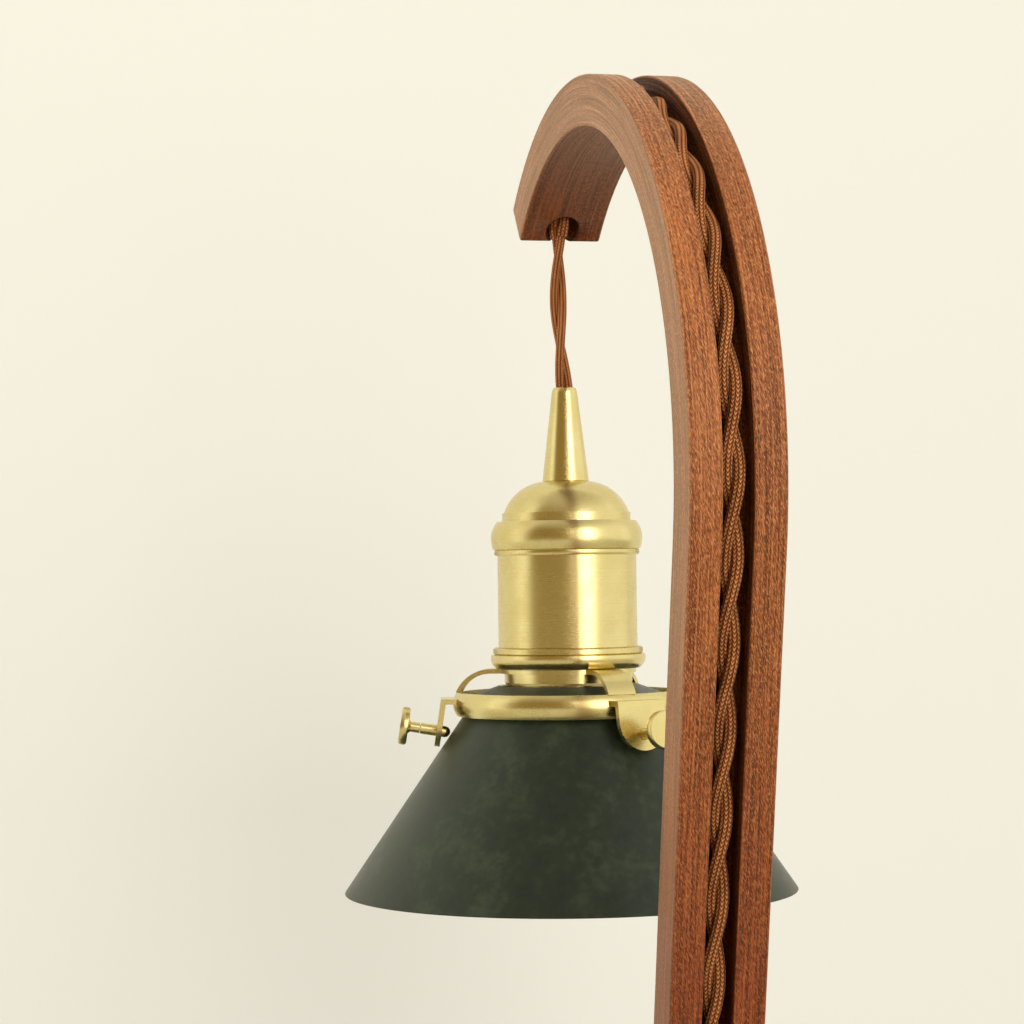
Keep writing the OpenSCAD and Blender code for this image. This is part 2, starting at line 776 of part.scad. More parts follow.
// The bend of a strap, seen from its side: a round arc out and down to the ring's top
module strap_bend() {
    intersection() {
        translate([0, strap_fall - strap_bend_r]) difference() {
            circle(r = strap_bend_r + strap_t / 2);
            circle(r = strap_bend_r - strap_t / 2);
        }
        square([2 * strap_bend_r, strap_drop + strap_t]);
    }
}

module gallery_spider() {
    plate_r = clamp_d / 2 + 1;
    root_r = (strap_in_r + plate_r) / 2;
    color("goldenrod") {
        lamp_ring(plate_r, strap_in_r, plate_foot, nut_foot);
        at_lugs(strap_turn) {
            translate([root_r, -strap_w / 2, plate_foot]) cube([strap_flat - root_r, strap_w, strap_t]);
            translate([strap_flat, strap_w / 2, ring_top]) rotate([90, 0, 0])
                linear_extrude(strap_w) strap_bend();
        }
    }
}

// A lug: a shelf out from the ring's side, and a round-ended ear that hangs from it square to the thumbscrew
module gallery_lug() {
    lug_pin_r = thumb_d / 2 + run_fit;
    lug_rise = screw_below + lug_t;
    shelf_end = lug_out - (screw_below - shelf_below - shelf_t / 2) * tan(screw_tilt);
    difference() {
        union() {
            translate([ring_mid_r, -lug_r, shelf_top - shelf_t])
                cube([shelf_end - ring_mid_r, 2 * lug_r, shelf_t]);
            intersection() {
                at_lug() translate([0, 0, -lug_t / 2]) {
                    translate([-lug_up, 0, 0]) cylinder(r = lug_r, h = lug_t);
                    translate([-lug_rise, -lug_r, 0]) cube([lug_rise - lug_up, 2 * lug_r, lug_t]);
                }
                translate([0, -lug_out, shelf_top - 2 * lug_out]) cube(2 * lug_out);
            }
        }
        at_lug() translate([0, 0, -lug_t]) cylinder(r = lug_pin_r, h = 2 * lug_t);
    }
}

module gallery_ring() {
    swell_r = 5;
    color("goldenrod") {
        lamp_turned() intersection() {
            translate([ring_in_r, ring_foot]) square([ring_t, ring_h]);
            translate([ring_r - swell_r, ring_foot + ring_h / 2]) circle(r = swell_r);
        }
        at_lugs() gallery_lug();
    }
}

module thumb_stud(i) {
    color("goldenrod") at_thumb(i) {
        translate([0, 0, -tip_in]) sphere(r = tip_r);
        translate([0, 0, -tip_in]) cylinder(r = tip_r, h = tip_in + stud_out);
        translate([0, 0, stud_out - eps]) cylinder(r = spigot_r, h = spigot_l);
    }
}

module thumb_knob(i) {
    color("goldenrod") at_thumb(i) difference() {
        union() {
            translate([0, 0, stud_out + seat_gap])
                cylinder(r = thumb_neck_r, h = thumb_reach - stud_out - seat_gap);
            translate([0, 0, thumb_reach - thumb_head_t / 2]) cylinder(d = thumb_head_d, h = thumb_head_t);
        }
        cylinder(r = spigot_r + run_fit, h = stud_out + spigot_l + seat_gap);
    }
}

module thumb_stud_1() { thumb_stud(0); }
module thumb_stud_2() { thumb_stud(1); }
module thumb_stud_3() { thumb_stud(2); }
module thumb_knob_1() { thumb_knob(0); }
module thumb_knob_2() { thumb_knob(1); }
module thumb_knob_3() { thumb_knob(2); }

// Shade

module shade() {
    wall_x = shade_wall / cone_cos;
    hole_r = shade_hole_d / 2;
    corner = 1;
    color("darkslategray") lamp_turned() polygon([
        [hole_r, neck_top + shoulder_h],
        [neck_r - corner, neck_top],
        [neck_r, neck_top - corner],
        [neck_r, neck_foot],
        [rim_r, rim_z],
        [rim_r - wall_x, rim_z],
        [neck_r - shade_wall, neck_foot - (wall_x - shade_wall) / cone_slope],
        [neck_r - shade_wall, neck_top - shade_wall],
        [hole_r, neck_top + shoulder_h - shade_wall]
    ]);
}

// Bulb

module bulb_cap() {
    tip_r = 4.5;
    color("silver") lamp_turned() polygon([
        [0, bulb_top], [tip_r, bulb_top], [tip_r, bulb_top - 1], [bulb_cap_d / 2 - 4, bulb_cap_top],
        [bulb_cap_d / 2, bulb_cap_top - 2], [bulb_cap_d / 2, bulb_cap_foot], [0, bulb_cap_foot]
    ]);
}

module bulb_glass() {
    neck = bulb_cap_d / 2 - 1;
    face = bulb_d / 2;
    lens_top = bulb_face + bulb_lens_h;
    flare = bulb_cap_foot - lens_top;
    color("gainsboro") lamp_turned() difference() {
        polygon([
            [0, bulb_cap_foot], [neck, bulb_cap_foot], [neck + 1, bulb_cap_foot - flare * 0.15],
            [face - 6, bulb_cap_foot - flare * 0.6], [face - 2, bulb_cap_foot - flare * 0.82],
            [face, lens_top + 2], [face, lens_top], [0, lens_top]
        ]);
        polygon([
            [0, bulb_cap_foot - flare * 0.3], [neck - 3, bulb_cap_foot - flare * 0.3],
            [face - 6 - bulb_wall, bulb_cap_foot - flare * 0.62], [face - bulb_wall, lens_top + 2],
            [face - bulb_wall, lens_top - 1], [0, lens_top - 1]
        ]);
    }
}

module bulb_lens() {
    edge = 2;
    color("white") lamp_turned() polygon([
        [0, bulb_face], [bulb_d / 2 - 8, bulb_face + 0.8], [bulb_d / 2 - edge, bulb_face + 3],
        [bulb_d / 2, bulb_face + bulb_lens_h], [bulb_d / 2 - bulb_wall, bulb_face + bulb_lens_h],
        [0, bulb_face + bulb_lens_h - 2]
    ]);
}

// Lead, dimmer and plug

module lead_to_dimmer() {
    color("saddlebrown") at_lead() skin(tube_rings(TO_DIMMER, lead_r, lead_sides));
}

module lead_to_coil() {
    color("saddlebrown") at_lead() skin(tube_rings(TO_COIL, lead_r, lead_sides));
}

module lead_to_plug() {
    color("saddlebrown") at_lead() skin(tube_rings(TO_PLUG, lead_r, lead_sides));
}

module lead_coil() {
    color("saddlebrown") at_lead() skin(tube_rings(coil_points(), lead_r, coil_sides));
}

// Least gap of the coil to itself, measured between points more than half a loop apart
coil_line = coil_points();
coil_gap = min([
    for (i = [0:len(coil_line) - 1], j = [i + coil_rings / 2:len(coil_line) - 1])
        norm(coil_line[i] - coil_line[j])
]) - flex_d;
echo(coil_gap = coil_gap);

// The tie is a flat band round the coil's loops, closed under them on the floor
module coil_tie() {
    band_in = min(tie_radii) - tie_bow - lead_r - tie_gap;
    band_l = max(tie_radii) + lead_r + tie_gap - band_in;
    band_high = coil_low_z + coil_step + lead_r + tie_gap;
    color("black") at_lead() translate([coil_x, coil_y, 0]) rotate([0, 0, tie_a]) difference() {
        translate([band_in - tie_t, -tie_w / 2, 0]) cube([band_l + 2 * tie_t, tie_w, band_high + tie_t]);
        translate([band_in, -tie_w, tie_t]) cube([band_l, 2 * tie_w, band_high - tie_t]);
    }
}

module relief(l) {
    tip_r = lead_r + 0.6;
    root_r = lead_r + 2.1;
    rotate([0, 90, 0]) cylinder(r1 = tip_r, r2 = root_r, h = l);
}

relief_root_r = lead_r + 1.4;
relief_in_l = case_wall + 3;

module relief_in() {
    color("black") at_dimmer() translate([0, 0, case_mid_z]) {
        translate([case_l / 2 + relief_l, 0, 0]) rotate([0, 0, 180]) relief(relief_l);
        translate([case_l / 2 - relief_in_l, 0, 0]) rotate([0, 90, 0])
            cylinder(r = relief_root_r, h = relief_in_l + eps);
    }
}

module relief_out() {
    color("black") at_dimmer() translate([0, 0, case_mid_z]) {
        translate([-case_l / 2 - relief_l, 0, 0]) relief(relief_l);
        translate([-case_l / 2 - eps, 0, 0]) rotate([0, 90, 0])
            cylinder(r = relief_root_r, h = relief_in_l + eps);
    }
}

// Half of the dimmer's case between two heights, hollow, with a half hole for each strain relief
module case_half(low, high) {
    difference() {
        translate([0, 0, low]) linear_extrude(high - low) round_rect(case_l, case_w, case_corner_r);
        translate([0, 0, case_wall]) linear_extrude(case_h - 2 * case_wall)
            round_rect(case_l - 2 * case_wall, case_w - 2 * case_wall, case_corner_r - case_wall);
        translate([-case_l, 0, case_mid_z]) rotate([0, 90, 0])
            cylinder(r = relief_root_r + seat_gap, h = 2 * case_l);
    }
}

case_screw_x = 20;
case_screw_r = 1.2;
case_boss_r = 3;

module dimmer_lower() {
    color("black") at_dimmer() difference() {
        union() {
            case_half(0, case_mid_z);
            for (y = [-1, 1]) translate([-4, y * bearing_y - post_t / 2, case_wall - eps])
                cube([8, post_t, wheel_z + axle_d / 2 + 1.5 - case_wall]);
        }
        translate([0, bearing_y + post_t, wheel_z]) rotate([90, 0, 0])
            cylinder(d = axle_d + 2 * run_fit, h = 2 * (bearing_y + post_t));
        for (x = [-1, 1]) translate([x * case_screw_x, 0, -1])
            cylinder(r = case_screw_r + seat_gap, h = case_h);
    }
}

module dimmer_upper() {
    slot_l = wheel_d;
    color("black") at_dimmer() difference() {
        union() {
            case_half(case_mid_z, case_h);
            for (x = [-1, 1]) translate([x * case_screw_x, 0, case_mid_z])
                cylinder(r = case_boss_r, h = case_h - case_wall - case_mid_z + eps);
        }
        translate([-slot_l / 2, -wheel_w / 2 - wheel_gap, case_mid_z])
            cube([slot_l, wheel_w + 2 * wheel_gap, case_h]);
        for (x = [-1, 1]) translate([x * case_screw_x, 0, 0])
            cylinder(r = case_screw_r + seat_gap, h = case_h - case_wall);
    }
}

module dimmer_wheel() {
    axle_l = wheel_w + 2 * (wheel_gap + post_t);
    color("dimgray") at_dimmer() translate([0, 0, wheel_z]) rotate([90, 0, 0]) {
        cylinder(d = wheel_d, h = wheel_w, center = true);
        cylinder(d = axle_d, h = axle_l, center = true);
    }
}

module dimmer_board() {
    board_l = 10;
    board_w = 18;
    board_t = 1.6;
    color("darkgreen") at_dimmer() translate([case_screw_x - case_boss_r - board_l, -board_w / 2, case_wall])
        cube([0.5 * board_l, board_w, board_t]);
}

module dimmer_screws() {
    color("silver") at_dimmer() for (x = [-1, 1]) translate([x * case_screw_x, 0, 0])
        cylinder(r = case_screw_r, h = case_h - case_wall - 2);
}

module plug_relief() {
    color("black") at_plug() relief(plug_relief_l);
}

module plug_body() {
    shoulder_w = 18;
    shoulder_l = 8;
    flare_l = 14;
    corner_r = 4;
    color("black") at_plug() difference() {
        translate([plug_relief_l, 0, 0]) intersection() {
            translate([0, 0, -plug_t / 2]) linear_extrude(plug_t) polygon([
                [0, -shoulder_w / 2], [shoulder_l, -shoulder_w / 2], [flare_l, -plug_w / 2],
                [plug_l, -plug_w / 2], [plug_l, plug_w / 2], [flare_l, plug_w / 2],
                [shoulder_l, shoulder_w / 2], [0, shoulder_w / 2]
            ]);
            rotate([90, 0, 90]) linear_extrude(plug_l) round_rect(plug_w, plug_t, corner_r);
        }
        blade_pair(seat_gap, 1);
    }
}

module blade_pair(grow, out) {
    tall = blade_w + 2 * grow;
    thick = blade_t + 2 * grow;
    root_x = plug_relief_l + plug_l - blade_in;
    for (y = [-1, 1]) translate([root_x, y * blade_apart / 2 - thick / 2, -tall / 2])
        cube([blade_in + out, thick, tall]);
}

module plug_blades() {
    color("goldenrod") at_plug() blade_pair(0, blade_l);
}

base();
base_pad();
base_screws();
arm();
flex_strand_a();
flex_strand_b();
drop_flex();
cord_grip();
grip_nipple();
cap_nut();
holder_cap();
holder_shell();
holder_insert();
screw_shell();
centre_contact();
terminal_screws();
holder_leads();
shade_nut();
gallery_spider();
clamp_nut();
gallery_ring();
thumb_stud_1();
thumb_stud_2();
thumb_stud_3();
thumb_knob_1();
thumb_knob_2();
thumb_knob_3();
shade();
bulb_cap();
bulb_glass();
bulb_lens();
lead_to_dimmer();
relief_in();
dimmer_lower();
dimmer_upper();
dimmer_wheel();
dimmer_board();
dimmer_screws();
relief_out();
lead_to_coil();
lead_coil();
coil_tie();
lead_to_plug();
plug_relief();
plug_body();
plug_blades();
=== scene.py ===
import math

import bmesh
import bpy
from mathutils import Matrix, Vector


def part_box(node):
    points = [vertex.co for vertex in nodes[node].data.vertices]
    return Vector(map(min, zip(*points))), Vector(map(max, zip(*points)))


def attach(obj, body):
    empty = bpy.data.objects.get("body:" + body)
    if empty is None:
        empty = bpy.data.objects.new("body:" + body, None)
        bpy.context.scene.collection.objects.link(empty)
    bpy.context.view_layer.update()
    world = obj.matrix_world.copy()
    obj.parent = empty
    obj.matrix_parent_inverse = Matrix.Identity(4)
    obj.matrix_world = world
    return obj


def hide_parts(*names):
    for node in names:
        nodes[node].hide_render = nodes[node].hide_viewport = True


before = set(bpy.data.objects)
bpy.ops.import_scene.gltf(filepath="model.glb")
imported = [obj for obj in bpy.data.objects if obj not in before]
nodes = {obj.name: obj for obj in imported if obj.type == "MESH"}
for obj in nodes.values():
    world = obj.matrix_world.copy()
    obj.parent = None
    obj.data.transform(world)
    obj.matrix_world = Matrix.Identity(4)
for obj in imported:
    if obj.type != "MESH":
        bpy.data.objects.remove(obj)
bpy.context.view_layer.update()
scene = bpy.context.scene
scene.view_settings.view_transform = "Standard"

# The view: a short telephoto lens close behind the post, a little above the lamp's middle,
# turned so that the hanging head shows to the left of the wood.
EYE = Vector((-0.6472, 0.1697, 0.2445))
YAW, PITCH, ROLL = -0.2231, 0.0247, -0.0136
ahead = Vector((math.cos(PITCH) * math.cos(YAW), math.cos(PITCH) * math.sin(YAW), math.sin(PITCH)))
level = Vector((math.sin(YAW), -math.cos(YAW), 0.0))
above = level.cross(ahead)
camera = bpy.data.objects.new("camera", bpy.data.cameras.new("camera"))
scene.collection.objects.link(camera)
camera.data.lens = 92.8
camera.data.sensor_width = 36.0
camera.data.clip_start = 0.01
camera_x = level * math.cos(ROLL) + above * math.sin(ROLL)
camera_y = above * math.cos(ROLL) - level * math.sin(ROLL)
camera_turn = Matrix((camera_x, camera_y, -ahead)).transposed()
camera.matrix_world = Matrix.Translation(EYE) @ camera_turn.to_4x4()
scene.camera = camera


# The base: a flat turned disc of the same reddish hardwood as the arm, oiled to a satin finish,
# with a rounded top edge, a mortise for the post's foot and a notch for the flex behind it.
# FOOT_PAINTED_SHADE is painted shade: it darkens the lower post and, in full, the base.
BASE_TOP, SLANT_GRAIN, FOOT_PAINTED_SHADE = 0.022, 0.28, (0.68, 0.48, 0.44)
# FOOT_* bound the painted shade down the post's foot; CROOK_* bound the painted shade under the crook.
FOOT_FROM, FOOT_TO, CROOK_FROM, CROOK_TO = -0.020, -0.095, 0.10, 0.20
# SIDE_SHEEN_* pick the side faces for a painted sheen; INNER_* pick the crook's inner face for painted
# shade.
SIDE_SHEEN_FROM, SIDE_SHEEN_TO, INNER_FROM, INNER_TO = 0.0104, 0.0110, -0.0059, -0.0062


def new_finish(name):
    finish = bpy.data.materials.new(name)
    finish.use_nodes = True
    tree = finish.node_tree
    tree.nodes.clear()
    shader = tree.nodes.new("ShaderNodeBsdfPrincipled")
    tree.links.new(shader.outputs[0], tree.nodes.new("ShaderNodeOutputMaterial").inputs["Surface"])
    return finish, tree, shader


def feed(tree, node, sockets):
    for socket, value in sockets.items():
        if isinstance(value, bpy.types.NodeSocket):
            tree.links.new(value, node.inputs[socket])
        else:
            node.inputs[socket].default_value = value


def add(tree, kind, sockets=None, **settings):
    node = tree.nodes.new("ShaderNode" + kind)
    for key, value in settings.items():
        setattr(node, key, value)
    feed(tree, node, sockets or {})
    return node


def own_place(tree):
    return add(tree, "TexCoord").outputs["Object"]


def speckle(tree, place, stretch, detail=2.0, rough=0.5):
    moved = add(tree, "Mapping", {"Vector": place, "Scale": stretch})
    return add(tree, "TexNoise", {
        "Vector": moved.outputs[0], "Scale": 1.0, "Detail": detail, "Roughness": rough}).outputs["Fac"]


def ramp(tree, value, *stops):
    node = add(tree, "ValToRGB", {"Fac": value})
    while len(node.color_ramp.elements) < len(stops):
        node.color_ramp.elements.new(0.5)
    for element, (place, colour) in zip(node.color_ramp.elements, stops):
        rgb = (colour, colour, colour) if isinstance(colour, float) else colour
        element.position = place
        element.color = (*rgb, 1.0)
    return node.outputs["Color"]


def maths(tree, operation, a, b=0.0):
    return add(tree, "Math", {0: a, 1: b}, operation=operation).outputs[0]


def fade(tree, value, start, end, most=1.0):
    return add(tree, "MapRange", {
        "Value": value, "From Min": start, "From Max": end, "To Max": most}).outputs[0]


def between(tree, share, a, b):
    return add(tree, "Mix", {"Factor": share, "A": a, "B": b}, data_type="FLOAT").outputs[0]


def tinted(tree, share, under, over, blend="MIX"):
    return add(tree, "Mix", {
        "Factor": share, "A": under, "B": over}, data_type="RGBA", blend_type=blend).outputs["Result"]


def bumps(tree, height, strength, distance):
    return add(tree, "Bump", {"Height": height, "Strength": strength, "Distance": distance}).outputs[0]


def oiled_hardwood(name, run=None, light=1.0):
    finish, tree, shader = new_finish(name)
    if run:
        place = add(tree, "Attribute", attribute_name=run).outputs["Vector"]
        along, deep, across = add(tree, "SeparateXYZ", {0: place}).outputs
        # Painted shade: darker and redder towards the post's foot.
        down = fade(tree, along, FOOT_FROM, FOOT_TO)
        # Painted sheen: the side faces are blended 30 % towards a paler, duller tan, for the glancing
        # light on them.
        painted_side_sheen = fade(tree, maths(tree, "ABSOLUTE", across), SIDE_SHEEN_FROM, SIDE_SHEEN_TO, 0.30)
        # Painted shade: towards the arm's end, the inner face of the crook is multiplied darker.
        in_crook = fade(tree, along, CROOK_FROM, CROOK_TO)
        inside = fade(tree, deep, INNER_FROM, INNER_TO, in_crook)
    else:
        place = own_place(tree)
        # The base takes the full painted shade of the post's foot.
        down = 1.0
    slanted = add(tree, "Mapping", {"Vector": place, "Rotation": (0.0, SLANT_GRAIN, 0.0)}).outputs[0]
    figure = speckle(tree, place, (7.0, 95.0, 60.0), 3.0, 0.55)
    fibre = speckle(tree, slanted, (620.0, 4000.0, 4000.0), 3.0, 0.7)
    streak = speckle(tree, place, (26.0, 2200.0, 2200.0), 2.0, 0.6)
    fleck = ramp(tree, speckle(tree, slanted, (1100.0, 4600.0, 4600.0), 1.0), (0.54, 0.0), (0.64, 1.0))
    pores = ramp(tree, speckle(tree, slanted, (700.0, 4200.0, 4200.0), 1.0), (0.56, 0.0), (0.66, 1.0))
    tone = between(tree, 0.42, between(tree, 0.75, figure, streak), fibre)
    dark, middle, pale = (0.095, 0.017, 0.006), (0.300, 0.070, 0.017), (0.640, 0.205, 0.060)
    stops = ((0.40, dark), (0.50, middle), (0.60, pale))
    # Below 1, light dims the colours, gloss and sheen as painted shade; the groove and the hole use this.
    wood = ramp(tree, tone, *((stop, tuple(light * c for c in colour)) for stop, colour in stops))
    # The paler tan flecks are partly the wood's lighter fibres and partly painted glints.
    fleck_glint_share = maths(tree, "MULTIPLY", fleck, 0.55 * light)
    pore_share = maths(tree, "MULTIPLY", pores, 0.65)
    wood = tinted(tree, fleck_glint_share, wood, (0.88, 0.380, 0.115, 1.0))
    wood = tinted(tree, pore_share, wood, (0.060 * light, 0.013 * light, 0.003 * light, 1.0))
    if run:
        # Apply the painted side sheen, then the painted shade under the crook.
        wood = tinted(tree, painted_side_sheen, wood, (0.52, 0.37, 0.23, 1.0))
        wood = tinted(tree, inside, wood, (0.68, 0.48, 0.34, 1.0), "MULTIPLY")
    relief = maths(tree, "ADD", maths(tree, "SUBTRACT", fibre, pores), fleck)
    # The base colour ends with the painted foot shade multiplied in.
    feed(tree, shader, {
        "Base Color": tinted(tree, down, wood, (*FOOT_PAINTED_SHADE, 1.0), "MULTIPLY"),
        "Roughness": ramp(tree, tone, (0.40, 0.60), (0.60, 0.32)),
        "Normal": bumps(tree, relief, 0.75, 0.0001),
        "Specular IOR Level": 0.42 * light, "Specular Tint": (1.0, 0.86, 0.66, 1.0),
        "Sheen Weight": 0.20 * light ** 3, "Sheen Tint": (1.0, 0.80, 0.42, 1.0)})
    return finish


def dress(node, finish):
    nodes[node].data.materials.clear()
    nodes[node].data.materials.append(finish)


dress("base", oiled_hardwood("oiled_hardwood_base"))


# The felt pad: a thin disc of pressed dark felt glued under the base, cut with a slightly softened
# rim, so that the lamp stands quietly and does not scratch the table.
WELD, FLAT, SHARP, PAD_EASE = 1e-6, math.radians(1.0), math.radians(40.0), 0.0005


def pressed_felt(name):
    finish, tree, shader = new_finish(name)
    tuft = speckle(tree, own_place(tree), (1400.0, 1400.0, 1400.0), 4.0, 0.7)
    feed(tree, shader, {
        "Base Color": ramp(tree, tuft, (0.35, (0.020, 0.018, 0.016)), (0.7, (0.085, 0.078, 0.070))),
        "Normal": bumps(tree, tuft, 0.8, 0.0004), "Roughness": 0.95, "Sheen Weight": 0.4})
    return finish


def as_object(name, bm, *finishes, crease=SHARP):
    bmesh.ops.remove_doubles(bm, verts=bm.verts, dist=WELD)
    bmesh.ops.recalc_face_normals(bm, faces=bm.faces)
    for face in bm.faces:
        face.smooth = True
    for edge in bm.edges:
        if len(edge.link_faces) == 2 and edge.calc_face_angle() > crease:
            edge.smooth = False
    mesh = bpy.data.meshes.new(name)
    bm.to_mesh(mesh)
    bm.free()
    for finish in finishes:
        mesh.materials.append(finish)
    piece = bpy.data.objects.new(name, mesh)
    scene.collection.objects.link(piece)
    return piece


def even_shading(piece):
    piece.modifiers.new("even_shading", "WEIGHTED_NORMAL").keep_sharp = True


def eased_copy(node, name, ease, finish):
    bm = bmesh.new()
    bm.from_mesh(nodes[node].data)
    bmesh.ops.remove_doubles(bm, verts=bm.verts, dist=WELD)
    bmesh.ops.dissolve_limit(bm, angle_limit=FLAT, verts=bm.verts, edges=bm.edges)
    corners = [e for e in bm.edges if len(e.link_faces) == 2 and e.calc_face_angle() > SHARP]
    bmesh.ops.bevel(
        bm, geom=corners, offset=ease, affect="EDGES", segments=2, profile=0.5, material=-1,
        clamp_overlap=True)
    piece = as_object(name, bm, finish)
    even_shading(piece)
    return piece


felt_pad = eased_copy("base_pad", "felt_pad", PAD_EASE, pressed_felt("pressed_felt"))
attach(felt_pad, "stand")
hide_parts("base_pad")


# The base screws: two countersunk steel wood screws, driven up through the base into the post's
# foot before the felt is glued on.
def bright_steel(name):
    finish, tree, shader = new_finish(name)
    scratch = speckle(tree, own_place(tree), (900.0, 900.0, 3000.0), 3.0)
    feed(tree, shader, {
        "Base Color": ramp(tree, scratch, (0.3, (0.42, 0.42, 0.42)), (0.7, (0.62, 0.61, 0.60))),
        "Roughness": ramp(tree, scratch, (0.3, 0.24), (0.7, 0.42)), "Metallic": 1.0})
    return finish


steel = bright_steel("bright_steel")
dress("base_screws", steel)


# The arm: one bent strip of hardwood, post and crook in one, with a round-bottomed groove ploughed along
# its back for the flex and a hole through its end that narrows downwards. Its edges are eased by hand,
# and the groove and the hole are painted dark as shade.
LEAN, POST_X, POST_TALL, POST_ROUGH = math.radians(11.0), -0.064, 0.228, 0.26
ARCH_R, ARM_T, ARM_W, EASE, MOUTH_EASE = 0.093, 0.0125, 0.022, 0.0007, 0.0005
GROOVE_W, GROOVE_D, GROOVE_STEPS, BEND_STEPS, NOSE_STEPS = 0.007, 0.008, 12, 96, 6
FOOT_Z, HOLE_LOW, HOLE_TALL, HOLE_R, HOLE_FLARE = 0.014, 0.058, 0.040, 0.0037, 0.065
HOLE_IN, GROOVE_PAINTED_SHADE, TOUCH = 0.009, 0.3, 0.0001
SPRING = Vector((POST_X - POST_TALL * math.tan(LEAN), 0.0, BASE_TOP + POST_TALL))
ARCH = SPRING + ARCH_R * Vector((math.cos(LEAN), 0.0, math.sin(LEAN)))
SPRING_A, END_A = math.radians(191.0), math.radians(50.0)
HOLE_A = END_A + HOLE_IN / ARCH_R
LAMP_X = ARCH.x + ARCH_R * math.cos(HOLE_A)
DOWN_POST = Vector((math.sin(LEAN), 0.0, -math.cos(LEAN)))


def at_arch(angle, radius, y):
    return ARCH + Vector((radius * math.cos(angle), y, radius * math.sin(angle)))


def cut_away(piece, bm, name):
    cutter = as_object(name, bm)
    cut = piece.modifiers.new("cut", "BOOLEAN")
    cut.operation, cut.solver, cut.object = "DIFFERENCE", "EXACT", cutter
    done = bpy.data.meshes.new_from_object(piece.evaluated_get(bpy.context.evaluated_depsgraph_get()))
    piece.modifiers.remove(cut)
    piece.data = done
    bpy.data.objects.remove(cutter)


inner, outer, slot = ARCH_R - ARM_T / 2, ARCH_R + ARM_T / 2, GROOVE_W / 2
groove_mid = outer - GROOVE_D + slot
section = [(inner, -ARM_W / 2), (outer, -ARM_W / 2), (outer, -slot)]
for step in range(GROOVE_STEPS + 1):
    angle = math.radians(-90.0 - 180.0 * step / GROOVE_STEPS)
    section.append((groove_mid + slot * math.cos(angle), slot * math.sin(angle)))
section += [(outer, slot), (outer, ARM_W / 2), (inner, ARM_W / 2)]

bm = bmesh.new()
corners = [bm.verts.new(at_arch(SPRING_A, radius, y)) for radius, y in section]
bm.faces.new(corners)
bmesh.ops.bevel(
    bm, geom=[corners[0], corners[1], corners[-2], corners[-1]], offset=EASE, affect="VERTICES",
    segments=3, profile=0.5, material=-1)
bmesh.ops.bevel(
    bm, geom=[corners[2], corners[-3]], offset=MOUTH_EASE, affect="VERTICES",
    segments=2, profile=0.5, material=-1)
bm.faces.ensure_lookup_table()
ring = [loop.vert for loop in bm.faces[0].loops]
bmesh.ops.delete(bm, geom=[bm.faces[0]], context="FACES_ONLY")
ring_edges = list(bm.edges)
post = bmesh.ops.extrude_edge_only(bm, edges=ring_edges)["geom"]
post = [v for v in post if isinstance(v, bmesh.types.BMVert)]
bmesh.ops.translate(bm, verts=post, vec=POST_ROUGH * DOWN_POST)
sweep = SPRING_A - HOLE_A
bent = bmesh.ops.spin(
    bm, geom=ring + ring_edges, cent=ARCH, axis=(0, 1, 0), angle=sweep, steps=BEND_STEPS,
    use_merge=False, use_duplicate=False)["geom_last"]
bent = [v for v in bent if isinstance(v, bmesh.types.BMVert)]
turned_by = Matrix.Rotation(sweep, 3, "Y")
ring_end = [min(bent, key=lambda v: (v.co - ARCH - turned_by @ (w.co - ARCH)).length) for w in ring]
in_groove = [abs(v.co.y) < slot + MOUTH_EASE * 1.02 for v in ring]
first = next(i for i in range(len(ring)) if in_groove[i] and not in_groove[i - 1])
order = [(first + i) % len(ring) for i in range(len(ring))]
mouth = [ring_end[i] for i in order if in_groove[i]]
outline = [ring_end[i] for i in order if not in_groove[i]]
bm.faces.new(mouth)
rim = [mouth[-1]] + outline + [mouth[0]]
rim_edges = [bm.edges.get((a, b)) for a, b in zip(rim, rim[1:] + rim[:1])]
nose = bmesh.ops.spin(
    bm, geom=rim + rim_edges, cent=ARCH, axis=(0, 1, 0), angle=HOLE_A - END_A, steps=NOSE_STEPS,
    use_merge=False, use_duplicate=False)["geom_last"]
nose = [e for e in nose if isinstance(e, bmesh.types.BMEdge)]
end_face = bmesh.ops.contextual_create(bm, geom=nose)["faces"][0]
bmesh.ops.bevel(
    bm, geom=list(end_face.edges), offset=EASE, affect="EDGES", segments=3, profile=0.5, material=-1)
bmesh.ops.bisect_plane(
    bm, geom=bm.verts[:] + bm.edges[:] + bm.faces[:], plane_co=(0, 0, FOOT_Z), plane_no=(0, 0, 1),
    clear_inner=True)
bmesh.ops.holes_fill(bm, edges=[e for e in bm.edges if e.is_boundary], sides=0)
arm = as_object(
    "bent_arm", bm, oiled_hardwood("oiled_hardwood_arm", "wood_run"),
    oiled_hardwood("groove_hardwood_painted_shade", "wood_run", GROOVE_PAINTED_SHADE))

bm = bmesh.new()
bmesh.ops.create_cone(
    bm, cap_ends=True, segments=64, radius1=HOLE_R, radius2=HOLE_R + HOLE_FLARE * HOLE_TALL,
    depth=HOLE_TALL, matrix=Matrix.Translation((LAMP_X, 0.0, ARCH.z + HOLE_LOW + HOLE_TALL / 2)))
cut_away(arm, bm, "hole_cutter")
wood_run = arm.data.attributes.new("wood_run", "FLOAT_VECTOR", "POINT")
for vertex, value in zip(arm.data.vertices, wood_run.data):
    away = vertex.co - ARCH
    if away.dot(DOWN_POST) > 0.0:
        radius = away.dot(Vector((math.cos(SPRING_A), 0.0, math.sin(SPRING_A))))
        value.vector = (-away.dot(DOWN_POST), radius - ARCH_R, away.y)
    else:
        angle = math.atan2(away.z, away.x) % (2 * math.pi)
        value.vector = ((SPRING_A - angle) * ARCH_R, math.hypot(away.x, away.z) - ARCH_R, away.y)
